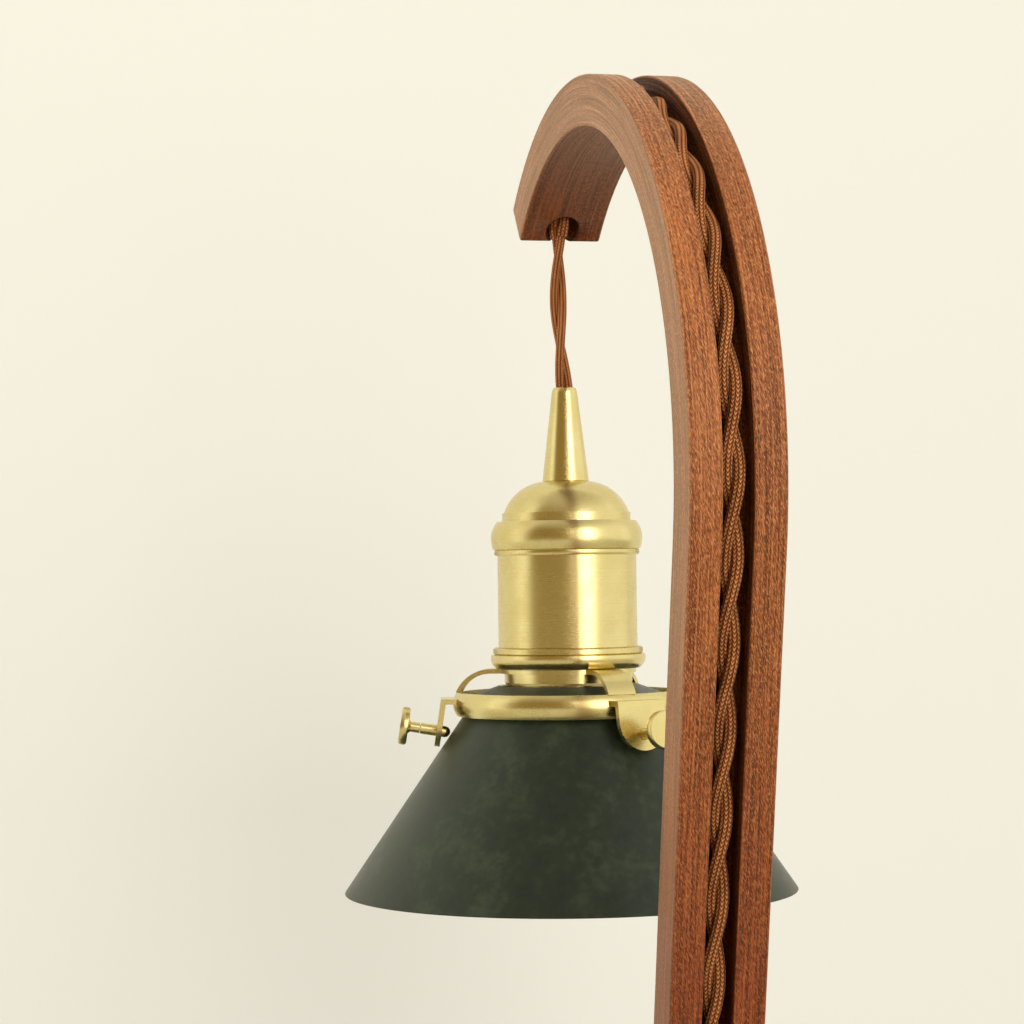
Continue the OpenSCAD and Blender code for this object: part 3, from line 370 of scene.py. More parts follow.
# Faces in the groove and the hole take the second finish, the same wood painted dark as shade.
for face in arm.data.polygons:
    spots = [arm.data.vertices[v].co for v in face.vertices]
    depths = [wood_run.data[v].vector[1] for v in face.vertices]
    flares = [HOLE_R + HOLE_FLARE * (p.z - ARCH.z - HOLE_LOW) for p in spots]
    in_hole = all(abs(math.hypot(p.x - LAMP_X, p.y) - r) < TOUCH for p, r in zip(spots, flares))
    in_slot = max(abs(p.y) for p in spots) < slot + TOUCH and max(depths) < ARM_T / 2 - MOUTH_EASE / 2
    if in_hole or (in_slot and min(depths) > -ARM_T / 2 + EASE):
        face.material_index = 1
even_shading(arm)
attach(arm, "stand")
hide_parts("arm")


# The flex in the groove: two cores, each in a braided brown textile sleeve, twisted together by the
# maker, laid in the groove from the notch in the base up round the crook and down through the hole.
STRAND_R, STRAND_OUT, FLEX_D = 0.0014, 0.0014, 0.0056
FLEX_OFF, BEND_R, PITCH_HELD, PITCH_DROP = 0.00145, 0.014, 0.0375, 0.048
ASIDE, RING_STEP, COLUMNS, STITCHES = 0.0010, 0.0012, 8.0, 9.0
FLEX_R = ARCH_R + FLEX_OFF
EXIT = Vector((-0.082, 0.0, 0.005))
PIVOT_Z = ARCH.z + inner * math.sin(END_A) - 0.0002
PIVOT_GAP = 0.00095
low_z = EXIT.z + BEND_R
low_x = POST_X + (BASE_TOP - low_z) * math.tan(LEAN) - (FLEX_OFF + BEND_R) / math.cos(LEAN)
leave_a = math.acos((LAMP_X - ARCH.x - BEND_R) / (FLEX_R - BEND_R))
top_x, top_z = LAMP_X - BEND_R, ARCH.z + (FLEX_R - BEND_R) * math.sin(leave_a)
spring_x, spring_z = SPRING.x - FLEX_OFF * math.cos(LEAN), SPRING.z - FLEX_OFF * math.sin(LEAN)
at_low = low_x - EXIT.x
at_post = at_low + BEND_R * (math.pi / 2 + LEAN)
at_spring = at_post + (spring_z - low_z - math.sin(LEAN) * BEND_R) / math.cos(LEAN)
at_top = at_spring + FLEX_R * (SPRING_A - leave_a)
at_down = at_top + BEND_R * leave_a
at_end = at_down + top_z - PIVOT_Z - PIVOT_GAP


def held_flex(s):
    def turn(x, z, r, a, side):
        return x + r * math.cos(a), z + r * math.sin(a), side * math.cos(a), side * math.sin(a)
    if s < at_low:
        return EXIT.x + s, EXIT.z, 0.0, 1.0
    if s < at_post:
        return turn(low_x, low_z, BEND_R, -math.pi / 2 + (s - at_low) / BEND_R, -1)
    if s < at_spring:
        d = s - at_spring
        x, z = spring_x - d * math.sin(LEAN), spring_z + d * math.cos(LEAN)
        return x, z, -math.cos(LEAN), -math.sin(LEAN)
    if s < at_top:
        return turn(ARCH.x, ARCH.z, FLEX_R, SPRING_A - (s - at_spring) / FLEX_R, 1)
    if s < at_down:
        return turn(top_x, top_z, BEND_R, leave_a - (s - at_top) / BEND_R, 1)
    return LAMP_X, top_z - (s - at_down), 1.0, 0.0


def held_twist(s):
    return -math.pi / 2 - 2 * math.pi * (s - at_spring) / PITCH_HELD


def held_aside(s):
    t = min(max((s - at_top) / (at_end - at_top), 0.0), 1.0)
    return ASIDE * t * t * (3 - 2 * t)


def strand_at(x, z, nx, nz, twist, aside, apart=STRAND_OUT):
    out = apart * math.cos(twist)
    return Vector((x + nx * out, aside + apart * math.sin(twist), z + nz * out))


def braided_cord(name, lines, radius, finish, sides=12):
    bm = bmesh.new()
    weave = bm.loops.layers.uv.new("weave")
    for line in lines:
        aside = None
        rings, run, runs = [], 0.0, []
        for i, point in enumerate(line):
            along = (line[min(i + 1, len(line) - 1)] - line[max(i - 1, 0)]).normalized()
            if aside is None:
                aside = along.orthogonal()
            aside = (aside - along * aside.dot(along)).normalized()
            third = along.cross(aside)
            rings.append([bm.verts.new(point + radius * (
                math.cos(2 * math.pi * j / sides) * aside + math.sin(2 * math.pi * j / sides) * third))
                for j in range(sides)])
            run += (point - line[i - 1]).length if i else 0.0
            runs.append(run)
        for i in range(len(rings) - 1):
            for j in range(sides):
                k = (j + 1) % sides
                face = bm.faces.new((rings[i][j], rings[i][k], rings[i + 1][k], rings[i + 1][j]))
                around = (j, j + 1, j + 1, j)
                along_run = (runs[i], runs[i], runs[i + 1], runs[i + 1])
                for corner, u, v in zip(face.loops, around, along_run):
                    corner[weave].uv = (u / sides, v / (2 * math.pi * radius))
        bm.faces.new(rings[0][::-1])
        bm.faces.new(rings[-1])
    return as_object(name, bm, finish, crease=math.radians(70.0))


def braided_textile(name):
    finish, tree, shader = new_finish(name)
    spot = add(tree, "SeparateXYZ", {0: add(tree, "UVMap", uv_map="weave").outputs[0]})

    def calc(operation, a, b=0.0):
        return maths(tree, operation, a, b)

    columns = calc("MULTIPLY", spot.outputs[0], COLUMNS)
    from_mid = calc("MULTIPLY", calc("ABSOLUTE", calc("SUBTRACT", calc("FRACT", columns), 0.5)), 2.0)
    stagger = calc("MULTIPLY", calc("FLOOR", columns), 0.5)
    stitches = calc("ADD", calc("MULTIPLY", spot.outputs[1], STITCHES), stagger)
    slant = calc("FRACT", calc("SUBTRACT", stitches, calc("MULTIPLY", from_mid, 0.8)))
    stitch_crown = calc("SINE", calc("MULTIPLY", slant, math.pi))
    column_crown = calc("POWER", calc("COSINE", calc("MULTIPLY", from_mid, math.pi / 2)), 0.6)
    yarn = calc("MULTIPLY", column_crown, calc("ADD", calc("MULTIPLY", stitch_crown, 0.82), 0.18))
    fuzz = speckle(tree, own_place(tree), (1900.0, 1900.0, 1900.0), 3.0)
    patch = speckle(tree, own_place(tree), (120.0, 120.0, 120.0), 2.0)
    mottle = calc("MULTIPLY", calc("ADD", fuzz, patch), 0.25)
    # Painted shade and highlight: the colour follows the stitch relief, near black in the gaps and pale
    # on the yarn crowns; the fuzz and patches are the yarn's own mottle.
    tone = calc("ADD", calc("MULTIPLY", yarn, 0.62), mottle)
    dark, middle, pale = (0.030, 0.006, 0.001), (0.330, 0.086, 0.018), (0.840, 0.370, 0.130)
    height = calc("ADD", yarn, calc("MULTIPLY", fuzz, 0.35))
    feed(tree, shader, {
        "Base Color": ramp(tree, tone, (0.28, dark), (0.57, middle), (0.85, pale)),
        "Normal": bumps(tree, height, 0.85, 0.00022), "Roughness": 0.72, "Specular IOR Level": 0.25,
        "Sheen Weight": 0.1, "Sheen Roughness": 0.4, "Sheen Tint": (0.9, 0.6, 0.4, 1.0)})
    return finish


textile = braided_textile("braided_textile")
steps = round(at_end / RING_STEP)
runs = [at_end * i / steps for i in range(steps + 1)]
for node, half_turn in (("flex_strand_a", 0.0), ("flex_strand_b", math.pi)):
    line = [strand_at(*held_flex(s), held_twist(s) + half_turn, held_aside(s)) for s in runs]
    strand = braided_cord("groove_" + node[5:], [line], STRAND_R, textile)
    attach(strand, "stand")
    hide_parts(node)


# The drop: the same twisted flex, hanging free from the hole in the arm and carrying the head
# by its own strength, so it is pulled a little thinner than in the groove.
DROP_L = 0.0392
GRIP_TOP = PIVOT_Z - DROP_L
UP_HOLE, HANG_L, HANG_CUTS, LOOSE_TURN = 0.004, DROP_L + 0.0045, 40, 0.04
TAUT_R, TAUT_OUT, BOW = 0.00117, 0.00108, 0.0008


def drop_twist(d):
    pitch = PITCH_DROP if d > 0.0 else PITCH_HELD
    return held_twist(at_end + PIVOT_GAP) + LOOSE_TURN - 2 * math.pi * d / pitch


def drop_aside(d):
    t = min(max(d / DROP_L, 0.0), 1.0)
    return ASIDE * (1 - t) + BOW * math.sin(math.pi * t)


def drop_strand(d, half_turn):
    return strand_at(LAMP_X, PIVOT_Z - d, 1.0, 0.0, drop_twist(d) + half_turn, drop_aside(d), TAUT_OUT)


depths = [-UP_HOLE + HANG_L * i / HANG_CUTS for i in range(HANG_CUTS + 1)]
drop_lines = [[drop_strand(d, half_turn) for d in depths] for half_turn in (0.0, math.pi)]
drop = braided_cord("hanging_flex", drop_lines, TAUT_R, textile)
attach(drop, "drop")
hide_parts("drop_flex")


# The lead to the dimmer: the flex goes on behind the base and lies on the table in a loose bend,
# put away close behind the stand.
MM, LEAD_R, LEAD_SIDES = 0.001, STRAND_R * 0.99, 10
TO_DIMMER = [
    (-82, 0, 5), (-88, 0, 4.4), (-94, 2, 3.6), (-101, 8, 3), (-105, 17, 3), (-106, 27, 3),
    (-106, 37, 3), (-106, 46, 3), (-109, 57, 3), (-117, 65, 3), (-128, 68, 3.2), (-139, 65, 4),
    (-147, 57, 6), (-150, 46, 8.4), (-150, 38, 9)]
IN_RELIEF = (-150, 36.4, 9)


def smooth_route(points, step=0.0016):
    points = [Vector(p) * MM for p in points]
    route = [points[0]]
    for i in range(len(points) - 1):
        start, end = points[i], points[i + 1]
        before, after = points[max(i - 1, 0)], points[min(i + 2, len(points) - 1)]
        cuts = max(1, round((end - start).length / step))
        for c in range(1, cuts + 1):
            t = c / cuts
            route.append(0.5 * (
                2 * start + (end - before) * t + (2 * before - 5 * start + 4 * end - after) * t ** 2
                + (3 * start - before - 3 * end + after) * t ** 3))
    return route


def twisted_pair(route, twist):
    lines = [[], []]
    run = 0.0
    for i, point in enumerate(route):
        run += (point - route[i - 1]).length if i else 0.0
        along = (route[min(i + 1, len(route) - 1)] - route[max(i - 1, 0)]).normalized()
        aside = along.cross(Vector((0, 0, 1))).normalized()
        up = aside.cross(along)
        for line, half_turn in zip(lines, (0.0, math.pi)):
            a = twist + 2 * math.pi * run / PITCH_HELD + half_turn
            line.append(point + STRAND_OUT * (math.cos(a) * up + math.sin(a) * aside))
    return lines


route = smooth_route(TO_DIMMER + [IN_RELIEF])
pair = twisted_pair(route, held_twist(0.0))
lead = braided_cord("lead_behind_base", pair, LEAD_R, textile, LEAD_SIDES)
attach(lead, "stand")
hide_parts("lead_to_dimmer")


# The dimmer: a small moulded two-part case in the lead with a thumbwheel, two screws and a circuit board
# inside, and a tapered rubber strain relief at each end.
CASE_EASE, WHEEL_R, WHEEL_HALF, AXLE_R = 0.0004, 0.009, 0.003, 0.0015
TEETH, TOOTH_DEPTH, WHEEL_EASE = 36, 0.0004, 0.0003


def moulded_plastic(name, dark, pale, rough):
    finish, tree, shader = new_finish(name)
    grain = speckle(tree, own_place(tree), (2200.0, 2200.0, 2200.0), 2.0)
    feed(tree, shader, {
        "Base Color": ramp(tree, grain, (0.3, dark), (0.7, pale)),
        "Roughness": ramp(tree, grain, (0.3, rough - 0.06), (0.7, rough + 0.08)),
        "Normal": bumps(tree, grain, 0.25, 0.0001)})
    return finish


black = moulded_plastic("black_moulding", (0.012, 0.011, 0.010), (0.022, 0.020, 0.018), 0.45)
rubber = moulded_plastic("black_rubber", (0.010, 0.010, 0.010), (0.020, 0.019, 0.018), 0.62)
dimmer_pieces = [nodes[n] for n in ("relief_in", "relief_out", "dimmer_board", "dimmer_screws")]
for node, name in (("dimmer_lower", "dimmer_case_lower"), ("dimmer_upper", "dimmer_case_upper")):
    half = eased_copy(node, name, CASE_EASE, black)
    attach(half, "stand")
    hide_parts(node)
    dimmer_pieces.append(half)
for node in ("relief_in", "relief_out"):
    dress(node, rubber)
dress("dimmer_screws", steel)


def arc(r, z, radius, start, end, steps):
    turns = [math.radians(start + (end - start) * i / steps) for i in range(steps + 1)]
    return [(r + radius * math.cos(a), z + radius * math.sin(a)) for a in turns]


def turned(profile, ease=0.0, steps=128):
    bm = bmesh.new()
    points = [bm.verts.new((r, 0.0, z)) for r, z in profile]
    bm.faces.new(points)
    if ease:
        bmesh.ops.bevel(
            bm, geom=points, offset=ease, affect="VERTICES", segments=3, profile=0.5, material=-1,
            clamp_overlap=True)
    bmesh.ops.delete(bm, geom=bm.faces[:], context="FACES_ONLY")
    bmesh.ops.spin(
        bm, geom=bm.verts[:] + bm.edges[:], cent=(0, 0, 0), axis=(0, 0, 1), angle=2 * math.pi,
        steps=steps, use_merge=True, use_duplicate=False)
    return bm


def mill(bm, columns, depth, out, low, high):
    for vert in bm.verts:
        r = math.hypot(vert.co.x, vert.co.y)
        column = round(math.atan2(vert.co.y, vert.co.x) / (2 * math.pi) * columns)
        if column % 2 and r > out and low <= vert.co.z <= high:
            vert.co.x *= 1 - depth / r
            vert.co.y *= 1 - depth / r


wheel_low, wheel_high = (Vector(corner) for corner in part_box("dimmer_wheel"))
wheel_mid, axle_half = (wheel_low + wheel_high) / 2, (wheel_high.x - wheel_low.x) / 2
bm = turned([
    (0.0, -axle_half), (AXLE_R, -axle_half), (AXLE_R, -WHEEL_HALF), (WHEEL_R, -WHEEL_HALF),
    (WHEEL_R, WHEEL_HALF), (AXLE_R, WHEEL_HALF), (AXLE_R, axle_half), (0.0, axle_half)],
    WHEEL_EASE, 2 * TEETH)
mill(bm, 2 * TEETH, TOOTH_DEPTH, WHEEL_R - 0.0005, -WHEEL_HALF, WHEEL_HALF)
on_axle = Matrix.Translation(wheel_mid) @ Matrix.Rotation(math.pi / 2, 4, "Y")
bmesh.ops.transform(bm, matrix=on_axle, verts=bm.verts)
wheel = as_object("dimmer_thumbwheel", bm, rubber)
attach(wheel, "wheel")
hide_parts("dimmer_wheel")
dimmer_pieces.append(wheel)
board = moulded_plastic("circuit_board", (0.010, 0.050, 0.020), (0.016, 0.080, 0.032), 0.4)
dress("dimmer_board", board)


# The rest of the lead: wound into a round coil of loops beside and on each other and held by a tie,
# with a moulded two-blade plug lying beside it.
TO_COIL = [
    (-150, -66, 9), (-150, -73, 8.4), (-153, -81, 7.2), (-160, -87, 5.8), (-170, -90, 4.6),
    (-182, -90, 3.9), (-195, -90, 3.6), (-208, -90, 3.6)]
TO_PLUG = [(-259, -39, 10), (-259, -32, 10), (-259, -26, 10)]
OUT_OF_RELIEF, IN_PLUG = (-150, -64.4, 9), (-259, -24.6, 10)
COIL_X, COIL_Y, COIL_LOW, COIL_R, LOOP_GAP = -215.0, -46.0, 3.6, 20.8, 6.4
LOOPS, LOOP_CUTS, COIL_STEP, PLUG_EASE, TIE_EASE = 7.25, 24, 0.0022, 0.0006, 0.0004
coil = []
for i in range(round(LOOPS * LOOP_CUTS) + 1):
    u = i / LOOP_CUTS
    t = min(max((u - LOOPS / 2) * 2 + 0.5, 0.0), 1.0)
    r = COIL_R + LOOP_GAP * abs(u - LOOPS / 2)
    a = math.radians(-90 - 360 * u)
    z = COIL_LOW + LOOP_GAP * t * t * (3 - 2 * t)
    coil.append((COIL_X + r * math.cos(a), COIL_Y + r * math.sin(a), z))
route = smooth_route([OUT_OF_RELIEF] + TO_COIL + coil + TO_PLUG + [IN_PLUG], COIL_STEP)
for node, name, ease, finish, slot_name in (
        ("plug_body", "plug_moulding", PLUG_EASE, black, "black_plastic"),
        ("coil_tie", "lead_tie", TIE_EASE, rubber, "felt")):
    moulding = eased_copy(node, name, ease, finish)
    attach(moulding, "stand")
    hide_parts(node)
lead = braided_cord("lead_in_coil", twisted_pair(route, 0.0), LEAD_R, textile, LEAD_SIDES)
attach(lead, "stand")
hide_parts("lead_to_coil", "lead_coil", "lead_to_plug")
dress("plug_relief", rubber)


# The lampholder: spun and turned brass, lacquered satin, with the fine rings that the lathe leaves,
# over a glazed porcelain insert with a screw shell, contact and terminals.
def satin_brass(name, deep=(0.67, 0.54, 0.20), bright=(0.81, 0.70, 0.35)):
    finish, tree, shader = new_finish(name)
    to_axis = {"Vector": own_place(tree), "Location": (-LAMP_X, 0.0, 0.0)}
    moved = add(tree, "Mapping", to_axis).outputs[0]
    x, y, z = add(tree, "SeparateXYZ", {0: moved}).outputs
    flat = add(tree, "CombineXYZ", {0: x, 1: y}).outputs[0]
    out = add(tree, "VectorMath", {0: flat}, operation="LENGTH").outputs["Value"]
    on_lathe = add(tree, "CombineXYZ", {0: out, 2: z}).outputs[0]
    rings = speckle(tree, on_lathe, (4200.0, 1.0, 4200.0), 3.0, 0.7)
    cloud = speckle(tree, moved, (130.0, 130.0, 130.0), 3.0)
    tone = between(tree, 0.65, rings, cloud)
    feed(tree, shader, {
        "Base Color": ramp(tree, tone, (0.2, deep), (0.8, bright)),
        "Roughness": ramp(tree, tone, (0.3, 0.32), (0.7, 0.22)),
        "Normal": bumps(tree, rings, 0.02, 0.00005), "Metallic": 1.0})
    return finish


brass = satin_brass("satin_brass")
for node in ("grip_nipple", "cap_nut", "holder_shell", "screw_shell", "centre_contact", "plug_blades"):
    dress(node, brass)
CAP_TOP, DOME_FOOT, BULGE_TOP, SHELL_TOP = 0.2698, 0.2614, 0.2592, 0.2502
SHELL_FOOT, NUT_FOOT = 0.2259, 0.2202
ON_LAMP = Matrix.Translation((LAMP_X, 0.0, 0.0))


def lamp_piece(name, bm, node, *finishes):
    bmesh.ops.transform(bm, matrix=ON_LAMP, verts=bm.verts)
    piece = as_object(name, bm, *finishes)
    even_shading(piece)
    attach(piece, "head")
    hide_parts(node)
    return piece


GRIP_BORE, NIPPLE_HOLE, NIPPLE_END, GRIP_EASE = 0.0026, 0.00505, CAP_TOP + 0.0082, 0.0002
grip = lamp_piece("turned_cord_grip", turned([
    (NIPPLE_HOLE, CAP_TOP), (0.0062, CAP_TOP), (0.0036, GRIP_TOP - 0.0030),
    (0.0034, GRIP_TOP - 0.0012), (0.0030, GRIP_TOP), (GRIP_BORE, GRIP_TOP),
    (GRIP_BORE, NIPPLE_END), (NIPPLE_HOLE, NIPPLE_END)], GRIP_EASE), "cord_grip", brass)

BEADS, BEAD_DEPTH, BEAD_R, BEAD_CUT = 120, 0.00013, 0.0193, 0.0003
DOME_OUT, DOME_R, DOME_INNER_R, DOME_Z = 0.005, 0.012306, 0.011506, DOME_FOOT - 0.003814
BULGE_OUT, BULGE_R, BULGE_Z = 0.013072, 0.007128, (BULGE_TOP + SHELL_TOP) / 2
WAIST_R, SKIRT_R, LEDGE_R, LEDGE_Z = 0.0171, 0.01745, 0.0159, SHELL_TOP + 0.00515
bm = turned(
    arc(DOME_OUT, DOME_Z, DOME_R, 83.0, 18.05, 14) + [(WAIST_R, DOME_FOOT), (WAIST_R, BULGE_TOP)]
    + arc(BULGE_OUT, BULGE_Z, BULGE_R, 39.15, -24.0, 12)
    + [(BEAD_R - BEAD_CUT, SHELL_TOP + 0.0015), (BEAD_R, SHELL_TOP + 0.0012),
       (BEAD_R, SHELL_TOP + BEAD_CUT), (BEAD_R - BEAD_CUT, SHELL_TOP), (SKIRT_R, SHELL_TOP),
       (SKIRT_R, LEDGE_Z), (LEDGE_R, LEDGE_Z)]
    + arc(DOME_OUT, DOME_Z, DOME_INNER_R, 19.4, 89.7, 10) + [(NIPPLE_HOLE, CAP_TOP)], 0.0, 2 * BEADS)
mill(bm, 2 * BEADS, BEAD_DEPTH, BEAD_R - 0.0001, SHELL_TOP + 0.0002, SHELL_TOP + 0.0013)
cap = lamp_piece("spun_holder_cap", bm, "holder_cap", brass)
dress("terminal_screws", steel)
dress("bulb_cap", steel)
porcelain = moulded_plastic("glazed_porcelain", (0.72, 0.70, 0.65), (0.78, 0.76, 0.71), 0.16)
dress("holder_insert", porcelain)

FORK_DOWN, FORK_END, TERMINAL_OUT, TWIST_CUTS, FORK_CUTS = 0.031, 0.2503, 0.009, 23, 8
fork, fork_twist = GRIP_TOP - FORK_DOWN, drop_twist(DROP_L + FORK_DOWN)
end_twist = math.pi * round(fork_twist / math.pi)
holder_lines = [[], []]
for line, half_turn in zip(holder_lines, (0.0, math.pi)):
    for i in range(TWIST_CUTS + 1):
        d = DROP_L + PIVOT_GAP + (FORK_DOWN - PIVOT_GAP) * i / TWIST_CUTS
        line.append(drop_strand(d, half_turn))
    for i in range(1, FORK_CUTS + 1):
        t = i / FORK_CUTS
        a = fork_twist + (end_twist - fork_twist) * t + half_turn
        r = STRAND_OUT + (TERMINAL_OUT - STRAND_OUT) * t
        line.append(Vector((LAMP_X + r * math.cos(a), r * math.sin(a), fork + (FORK_END - fork) * t)))
leads = braided_cord("holder_tails", holder_lines, TAUT_R, textile)
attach(leads, "head")
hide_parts("holder_leads")


# The shade gallery: a milled ring nut on the holder's skirt, a three-armed plate clamped by a nut under
# it, and a ring with three lugs, cut and bent from brass with the edges broken.
NUT_BAND_R, NUT_BORE, EDGE_BREAK = 0.0199, 0.01505, 0.00025
NUT_OUT, NUT_R, NUT_Z = 0.017262, 0.003338, (SHELL_FOOT + NUT_FOOT) / 2
bm = turned(
    [(NUT_BORE, SHELL_FOOT), (NUT_BAND_R - 0.0006, SHELL_FOOT), (NUT_BAND_R, SHELL_FOOT - 0.0004),
     (NUT_BAND_R, SHELL_FOOT - 0.0016), (NUT_BAND_R - 0.0004, SHELL_FOOT - 0.0019)]
    + arc(NUT_OUT, NUT_Z, NUT_R, 14.0, -58.6, 10) + [(NUT_BORE, NUT_FOOT)], 0.0, 2 * BEADS)
mill(bm, 2 * BEADS, BEAD_DEPTH, NUT_BAND_R - 0.0001, SHELL_FOOT - 0.0017, SHELL_FOOT - 0.0003)
ring_nut = lamp_piece("milled_ring_nut", bm, "shade_nut", brass)
dress("clamp_nut", brass)
for node, name in (("gallery_spider", "gallery_arms"), ("gallery_ring", "gallery_band")):
    piece = eased_copy(node, name, EDGE_BREAK, brass)
    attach(piece, "head")
    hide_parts(node)


# The thumbscrews: three brass screws through the ring's lugs that hold the shade's neck, each with
# a thin neck and a flat round head with a milled edge.
LUG_OUT, SCREW_Z, SCREW_TILT, LUG_ANGLES = 0.0346, 0.2040, math.radians(9.0), (79.0, 199.0, 319.0)
KNOB_R, KNOB_LOW, KNOB_HIGH, KNOB_TEETH, KNURL = 0.0050, 0.0082, 0.0104, 40, 0.00018
SPIGOT_HOLE, NECK_START, HOLE_END, SCREW_NECK = 0.00085, 0.00515, 0.0088, 0.0014
for number, lug_angle in enumerate(LUG_ANGLES, 1):
    dress(f"thumb_stud_{number}", brass)
    bm = turned([
        (SPIGOT_HOLE, NECK_START), (SCREW_NECK, NECK_START), (SCREW_NECK, KNOB_LOW - 0.0006),
        (0.0020, KNOB_LOW), (KNOB_R - 0.0004, KNOB_LOW), (KNOB_R, KNOB_LOW + 0.0005),
        (KNOB_R, KNOB_HIGH - 0.0005), (KNOB_R - 0.0004, KNOB_HIGH), (0.0, KNOB_HIGH),
        (0.0, HOLE_END), (SPIGOT_HOLE, HOLE_END)], 0.0, 2 * KNOB_TEETH)
    mill(bm, 2 * KNOB_TEETH, KNURL, KNOB_R - 0.0001, KNOB_LOW, KNOB_HIGH)
    axis = Matrix.Rotation(math.radians(lug_angle), 4, "Z") @ Matrix.Translation((LUG_OUT, 0.0, SCREW_Z))
    axis = ON_LAMP @ axis @ Matrix.Rotation(math.pi / 2 - SCREW_TILT, 4, "Y")
    bmesh.ops.transform(bm, matrix=axis, verts=bm.verts)
    knob = as_object(f"thumbscrew_head_{number}", bm, brass)
    even_shading(knob)
    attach(knob, f"knob_{number}")
    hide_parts(f"thumb_knob_{number}")


# The shade: a cone spun from sheet brass with a straight neck and a shouldered top, darkened outside
# to a mottled green-black patina and left as warm dull metal inside.
def dark_patina(name):
    finish, tree, shader = new_finish(name)
    cloud = speckle(tree, own_place(tree), (75.0, 75.0, 75.0), 5.0, 0.65)
    fleck = speckle(tree, own_place(tree), (420.0, 420.0, 420.0), 3.0, 0.6)
    tone = between(tree, 0.35, cloud, fleck)
    dark, middle, pale = (0.004, 0.010, 0.004), (0.010, 0.020, 0.008), (0.032, 0.050, 0.024)
    feed(tree, shader, {
        "Base Color": ramp(tree, tone, (0.34, dark), (0.50, middle), (0.68, pale)),
        "Roughness": ramp(tree, tone, (0.36, 0.34), (0.64, 0.50)),
        "Normal": bumps(tree, tone, 0.2, 0.0002), "Specular IOR Level": 0.4,
        "Sheen Weight": 0.12, "Sheen Tint": (0.92, 0.95, 0.72, 1.0)})
    return finish


NECK_R, RIM_R, NECK_FOOT, RIM_Z, NECK_TOP = 0.0281, 0.0602, 0.2079, 0.1613, 0.2123
WALL, TOP_HOLE, TOP_Z, SHADE_EASE = 0.0012, 0.0182, NECK_TOP + 0.0036, 0.00045
SLANT = WALL / math.cos(math.atan((RIM_R - NECK_R) / (NECK_FOOT - RIM_Z)))
shade_profile = [
    (TOP_HOLE, TOP_Z), (NECK_R, NECK_TOP), (NECK_R, NECK_FOOT), (RIM_R, RIM_Z), (RIM_R - SLANT, RIM_Z),
    (NECK_R - WALL, NECK_FOOT - 0.0004), (NECK_R - WALL, NECK_TOP - WALL), (TOP_HOLE, TOP_Z - WALL)]
patina = dark_patina("dark_patina")
inside_metal = satin_brass("dull_brass_inside", (0.36, 0.27, 0.11), (0.52, 0.40, 0.18))
shade = lamp_piece("spun_shade", turned(shade_profile, SHADE_EASE), "shade", patina, inside_metal)
for face in shade.data.polygons:
    middle = face.center - Vector((LAMP_X, 0.0, 0.0))
    if face.normal.dot(Vector((middle.x, middle.y, 0.0))) < 0.0:
        face.material_index = 1


# The bulb: a halogen reflector lamp screwed into the holder, of glass silvered behind
# and closed in front by a pressed glass lens.
def silvered_glass(name):
    finish, tree, shader = new_finish(name)
    haze = speckle(tree, own_place(tree), (260.0, 260.0, 260.0), 3.0)
    feed(tree, shader, {
        "Base Color": ramp(tree, haze, (0.3, (0.55, 0.54, 0.52)), (0.7, (0.70, 0.69, 0.67))),
        "Roughness": ramp(tree, haze, (0.3, 0.10), (0.7, 0.22)), "Metallic": 0.85})
    return finish


def frosted_lens(name):
    finish, tree, shader = new_finish(name)
    dimple = add(tree, "TexVoronoi", {"Vector": own_place(tree), "Scale": 420.0}).outputs["Distance"]
    feed(tree, shader, {
        "Base Color": ramp(tree, dimple, (0.0, (0.82, 0.80, 0.74)), (0.8, (0.90, 0.88, 0.83))),
        "Normal": bumps(tree, dimple, 0.5, 0.0006), "Roughness": 0.32, "Coat Weight": 0.5})
    return finish


dress("bulb_glass", silvered_glass("silvered_glass"))
dress("bulb_lens", frosted_lens("frosted_lens"))


# The room: a plain table top that runs back to a cream wall close behind the lamp. One broad window to
# the right, behind the view, casts the soft shadow, a weaker light at the left fills it, and the rest of
# the room is pale, with one darker corner.
def plain_paper(name, own, shown, lit):
    finish, tree, shader = new_finish(name)
    path = add(tree, "LightPath")
    seen = maths(tree, "MAXIMUM", path.outputs["Is Camera Ray"], path.outputs["Is Glossy Ray"])
    seen = maths(tree, "MAXIMUM", seen, path.outputs["Is Transmission Ray"])
    cloud = speckle(tree, own_place(tree), (2.4, 2.4, 2.4), 1.0)
    face = ramp(tree, cloud, (0.3, tuple(0.97 * c for c in shown)), (0.7, shown))
    feed(tree, shader, {
        "Base Color": tinted(tree, seen, (*own, 1.0), face), "Roughness": 0.9, "Specular IOR Level": 0.2})
    glow = add(tree, "Emission", {"Color": (*shown, 1.0), "Strength": 1.0}).outputs[0]
    share = maths(tree, "MULTIPLY", seen, lit)
    front = add(tree, "MixShader", {0: share, 1: shader.outputs[0], 2: glow}).outputs[0]
    behind = add(tree, "NewGeometry").outputs["Backfacing"]
    clear = add(tree, "BsdfTransparent").outputs[0]
    output = next(n for n in tree.nodes if n.type == "OUTPUT_MATERIAL")
    last = add(tree, "MixShader", {0: behind, 1: front, 2: clear}).outputs[0]
    feed(tree, output, {"Surface": last})
    return finish


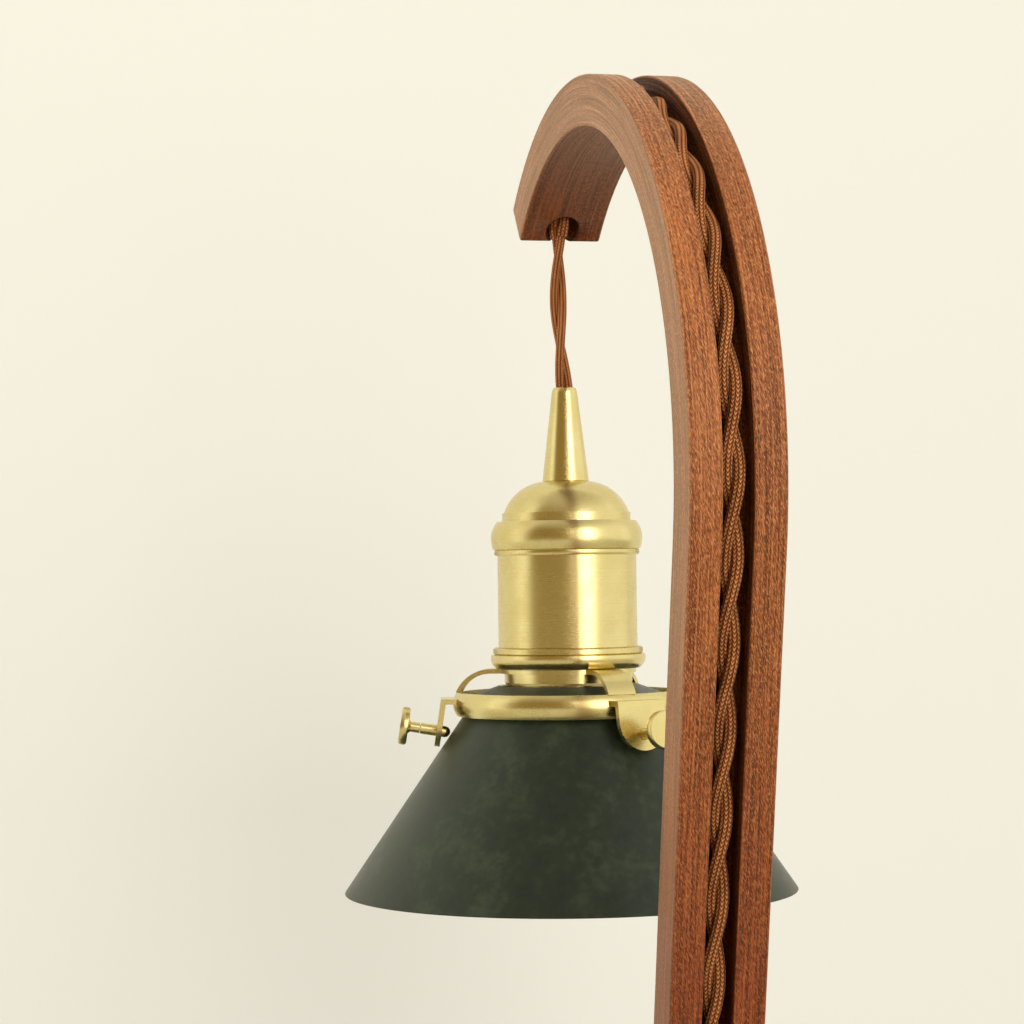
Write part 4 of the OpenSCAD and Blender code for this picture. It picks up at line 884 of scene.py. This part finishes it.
CREAM = (0.985, 0.970, 0.865)
BEIGE, PALE = (0.120, 0.085, 0.050), (0.640, 0.620, 0.545)
WALL_X, TABLE, WALL_HALF = 0.20, 1.6, 0.9
DAYLIGHT, LIT_SPOT = (1.0, 0.98, 0.94), Vector((LAMP_X, 0.0, 0.25))
bm = bmesh.new()
bmesh.ops.create_grid(bm, x_segments=1, y_segments=1, size=TABLE)
table = as_object("table_top", bm, plain_paper("table_paper", BEIGE, PALE, 0.3))
bm = bmesh.new()
upright = Matrix.Translation((WALL_X, 0.0, WALL_HALF)) @ Matrix.Rotation(-math.pi / 2, 4, "Y")
bmesh.ops.create_grid(bm, x_segments=1, y_segments=1, size=WALL_HALF, matrix=upright)
wall = as_object("wall", bm, plain_paper("wall_paper", CREAM, CREAM, 0.45))
for piece, facing in ((table, Vector((0, 0, 1))), (wall, Vector((-1, 0, 0)))):
    if piece.data.polygons[0].normal.dot(facing) < 0.0:
        piece.data.flip_normals()


def soft_light(name, place, width, height, power):
    lamp = bpy.data.lights.new(name, "AREA")
    lamp.shape, lamp.size, lamp.size_y = "RECTANGLE", width, height
    lamp.energy, lamp.color = power, DAYLIGHT
    stand = bpy.data.objects.new(name, lamp)
    stand.location = place
    stand.rotation_euler = (LIT_SPOT - stand.location).to_track_quat("-Z", "Y").to_euler()
    scene.collection.objects.link(stand)
    return stand


soft_light("window", (-1.41, -0.32, 0.65), 1.0, 1.2, 10.5)
soft_light("left_wall_light", (-0.15, 1.25, 0.45), 1.0, 1.0, 7.5).visible_glossy = False
ROOM, LEFT, CORNER = (1.10, 1.07, 0.96), (1.26, 1.22, 1.09), (0.31, 0.21, 0.07)
CEILING = (0.66, 0.62, 0.53)
CORNER_AT, LEFT_AT = math.radians(139.0), math.radians(70.0)
world = bpy.data.worlds.new("room")
scene.world = world
world.use_nodes = True
tree = world.node_tree
tree.nodes.clear()
way_in = add(tree, "TexCoord").outputs["Generated"]
level_way = add(tree, "Mapping", {"Vector": way_in, "Scale": (1.0, 1.0, 0.2)}).outputs[0]
way = add(tree, "VectorMath", {0: level_way}, operation="NORMALIZE").outputs[0]


def towards(angle):
    aim = (math.cos(angle), math.sin(angle), 0.0)
    return add(tree, "VectorMath", {0: way, 1: aim}, operation="DOT_PRODUCT").outputs["Value"]


sides = ramp(tree, towards(LEFT_AT), (0.70, ROOM), (0.90, LEFT))
dim = ramp(tree, towards(CORNER_AT), (0.73, 0.0), (0.86, 1.0))
walls = tinted(tree, dim, sides, (*CORNER, 1.0))
height = add(tree, "SeparateXYZ", {0: way_in}).outputs[2]
overhead = ramp(tree, height, (0.55, 0.0), (0.92, 1.0))
around = tinted(tree, overhead, walls, (*CEILING, 1.0))
room = add(tree, "Background", {"Color": around, "Strength": 1.0})
backdrop = add(tree, "Background", {"Color": (*CREAM, 1.0), "Strength": 1.0})
seen = add(tree, "LightPath").outputs["Is Camera Ray"]
shown = add(tree, "MixShader", {0: seen, 1: room.outputs[0], 2: backdrop.outputs[0]})
add(tree, "OutputWorld", {"Surface": shown.outputs[0]})
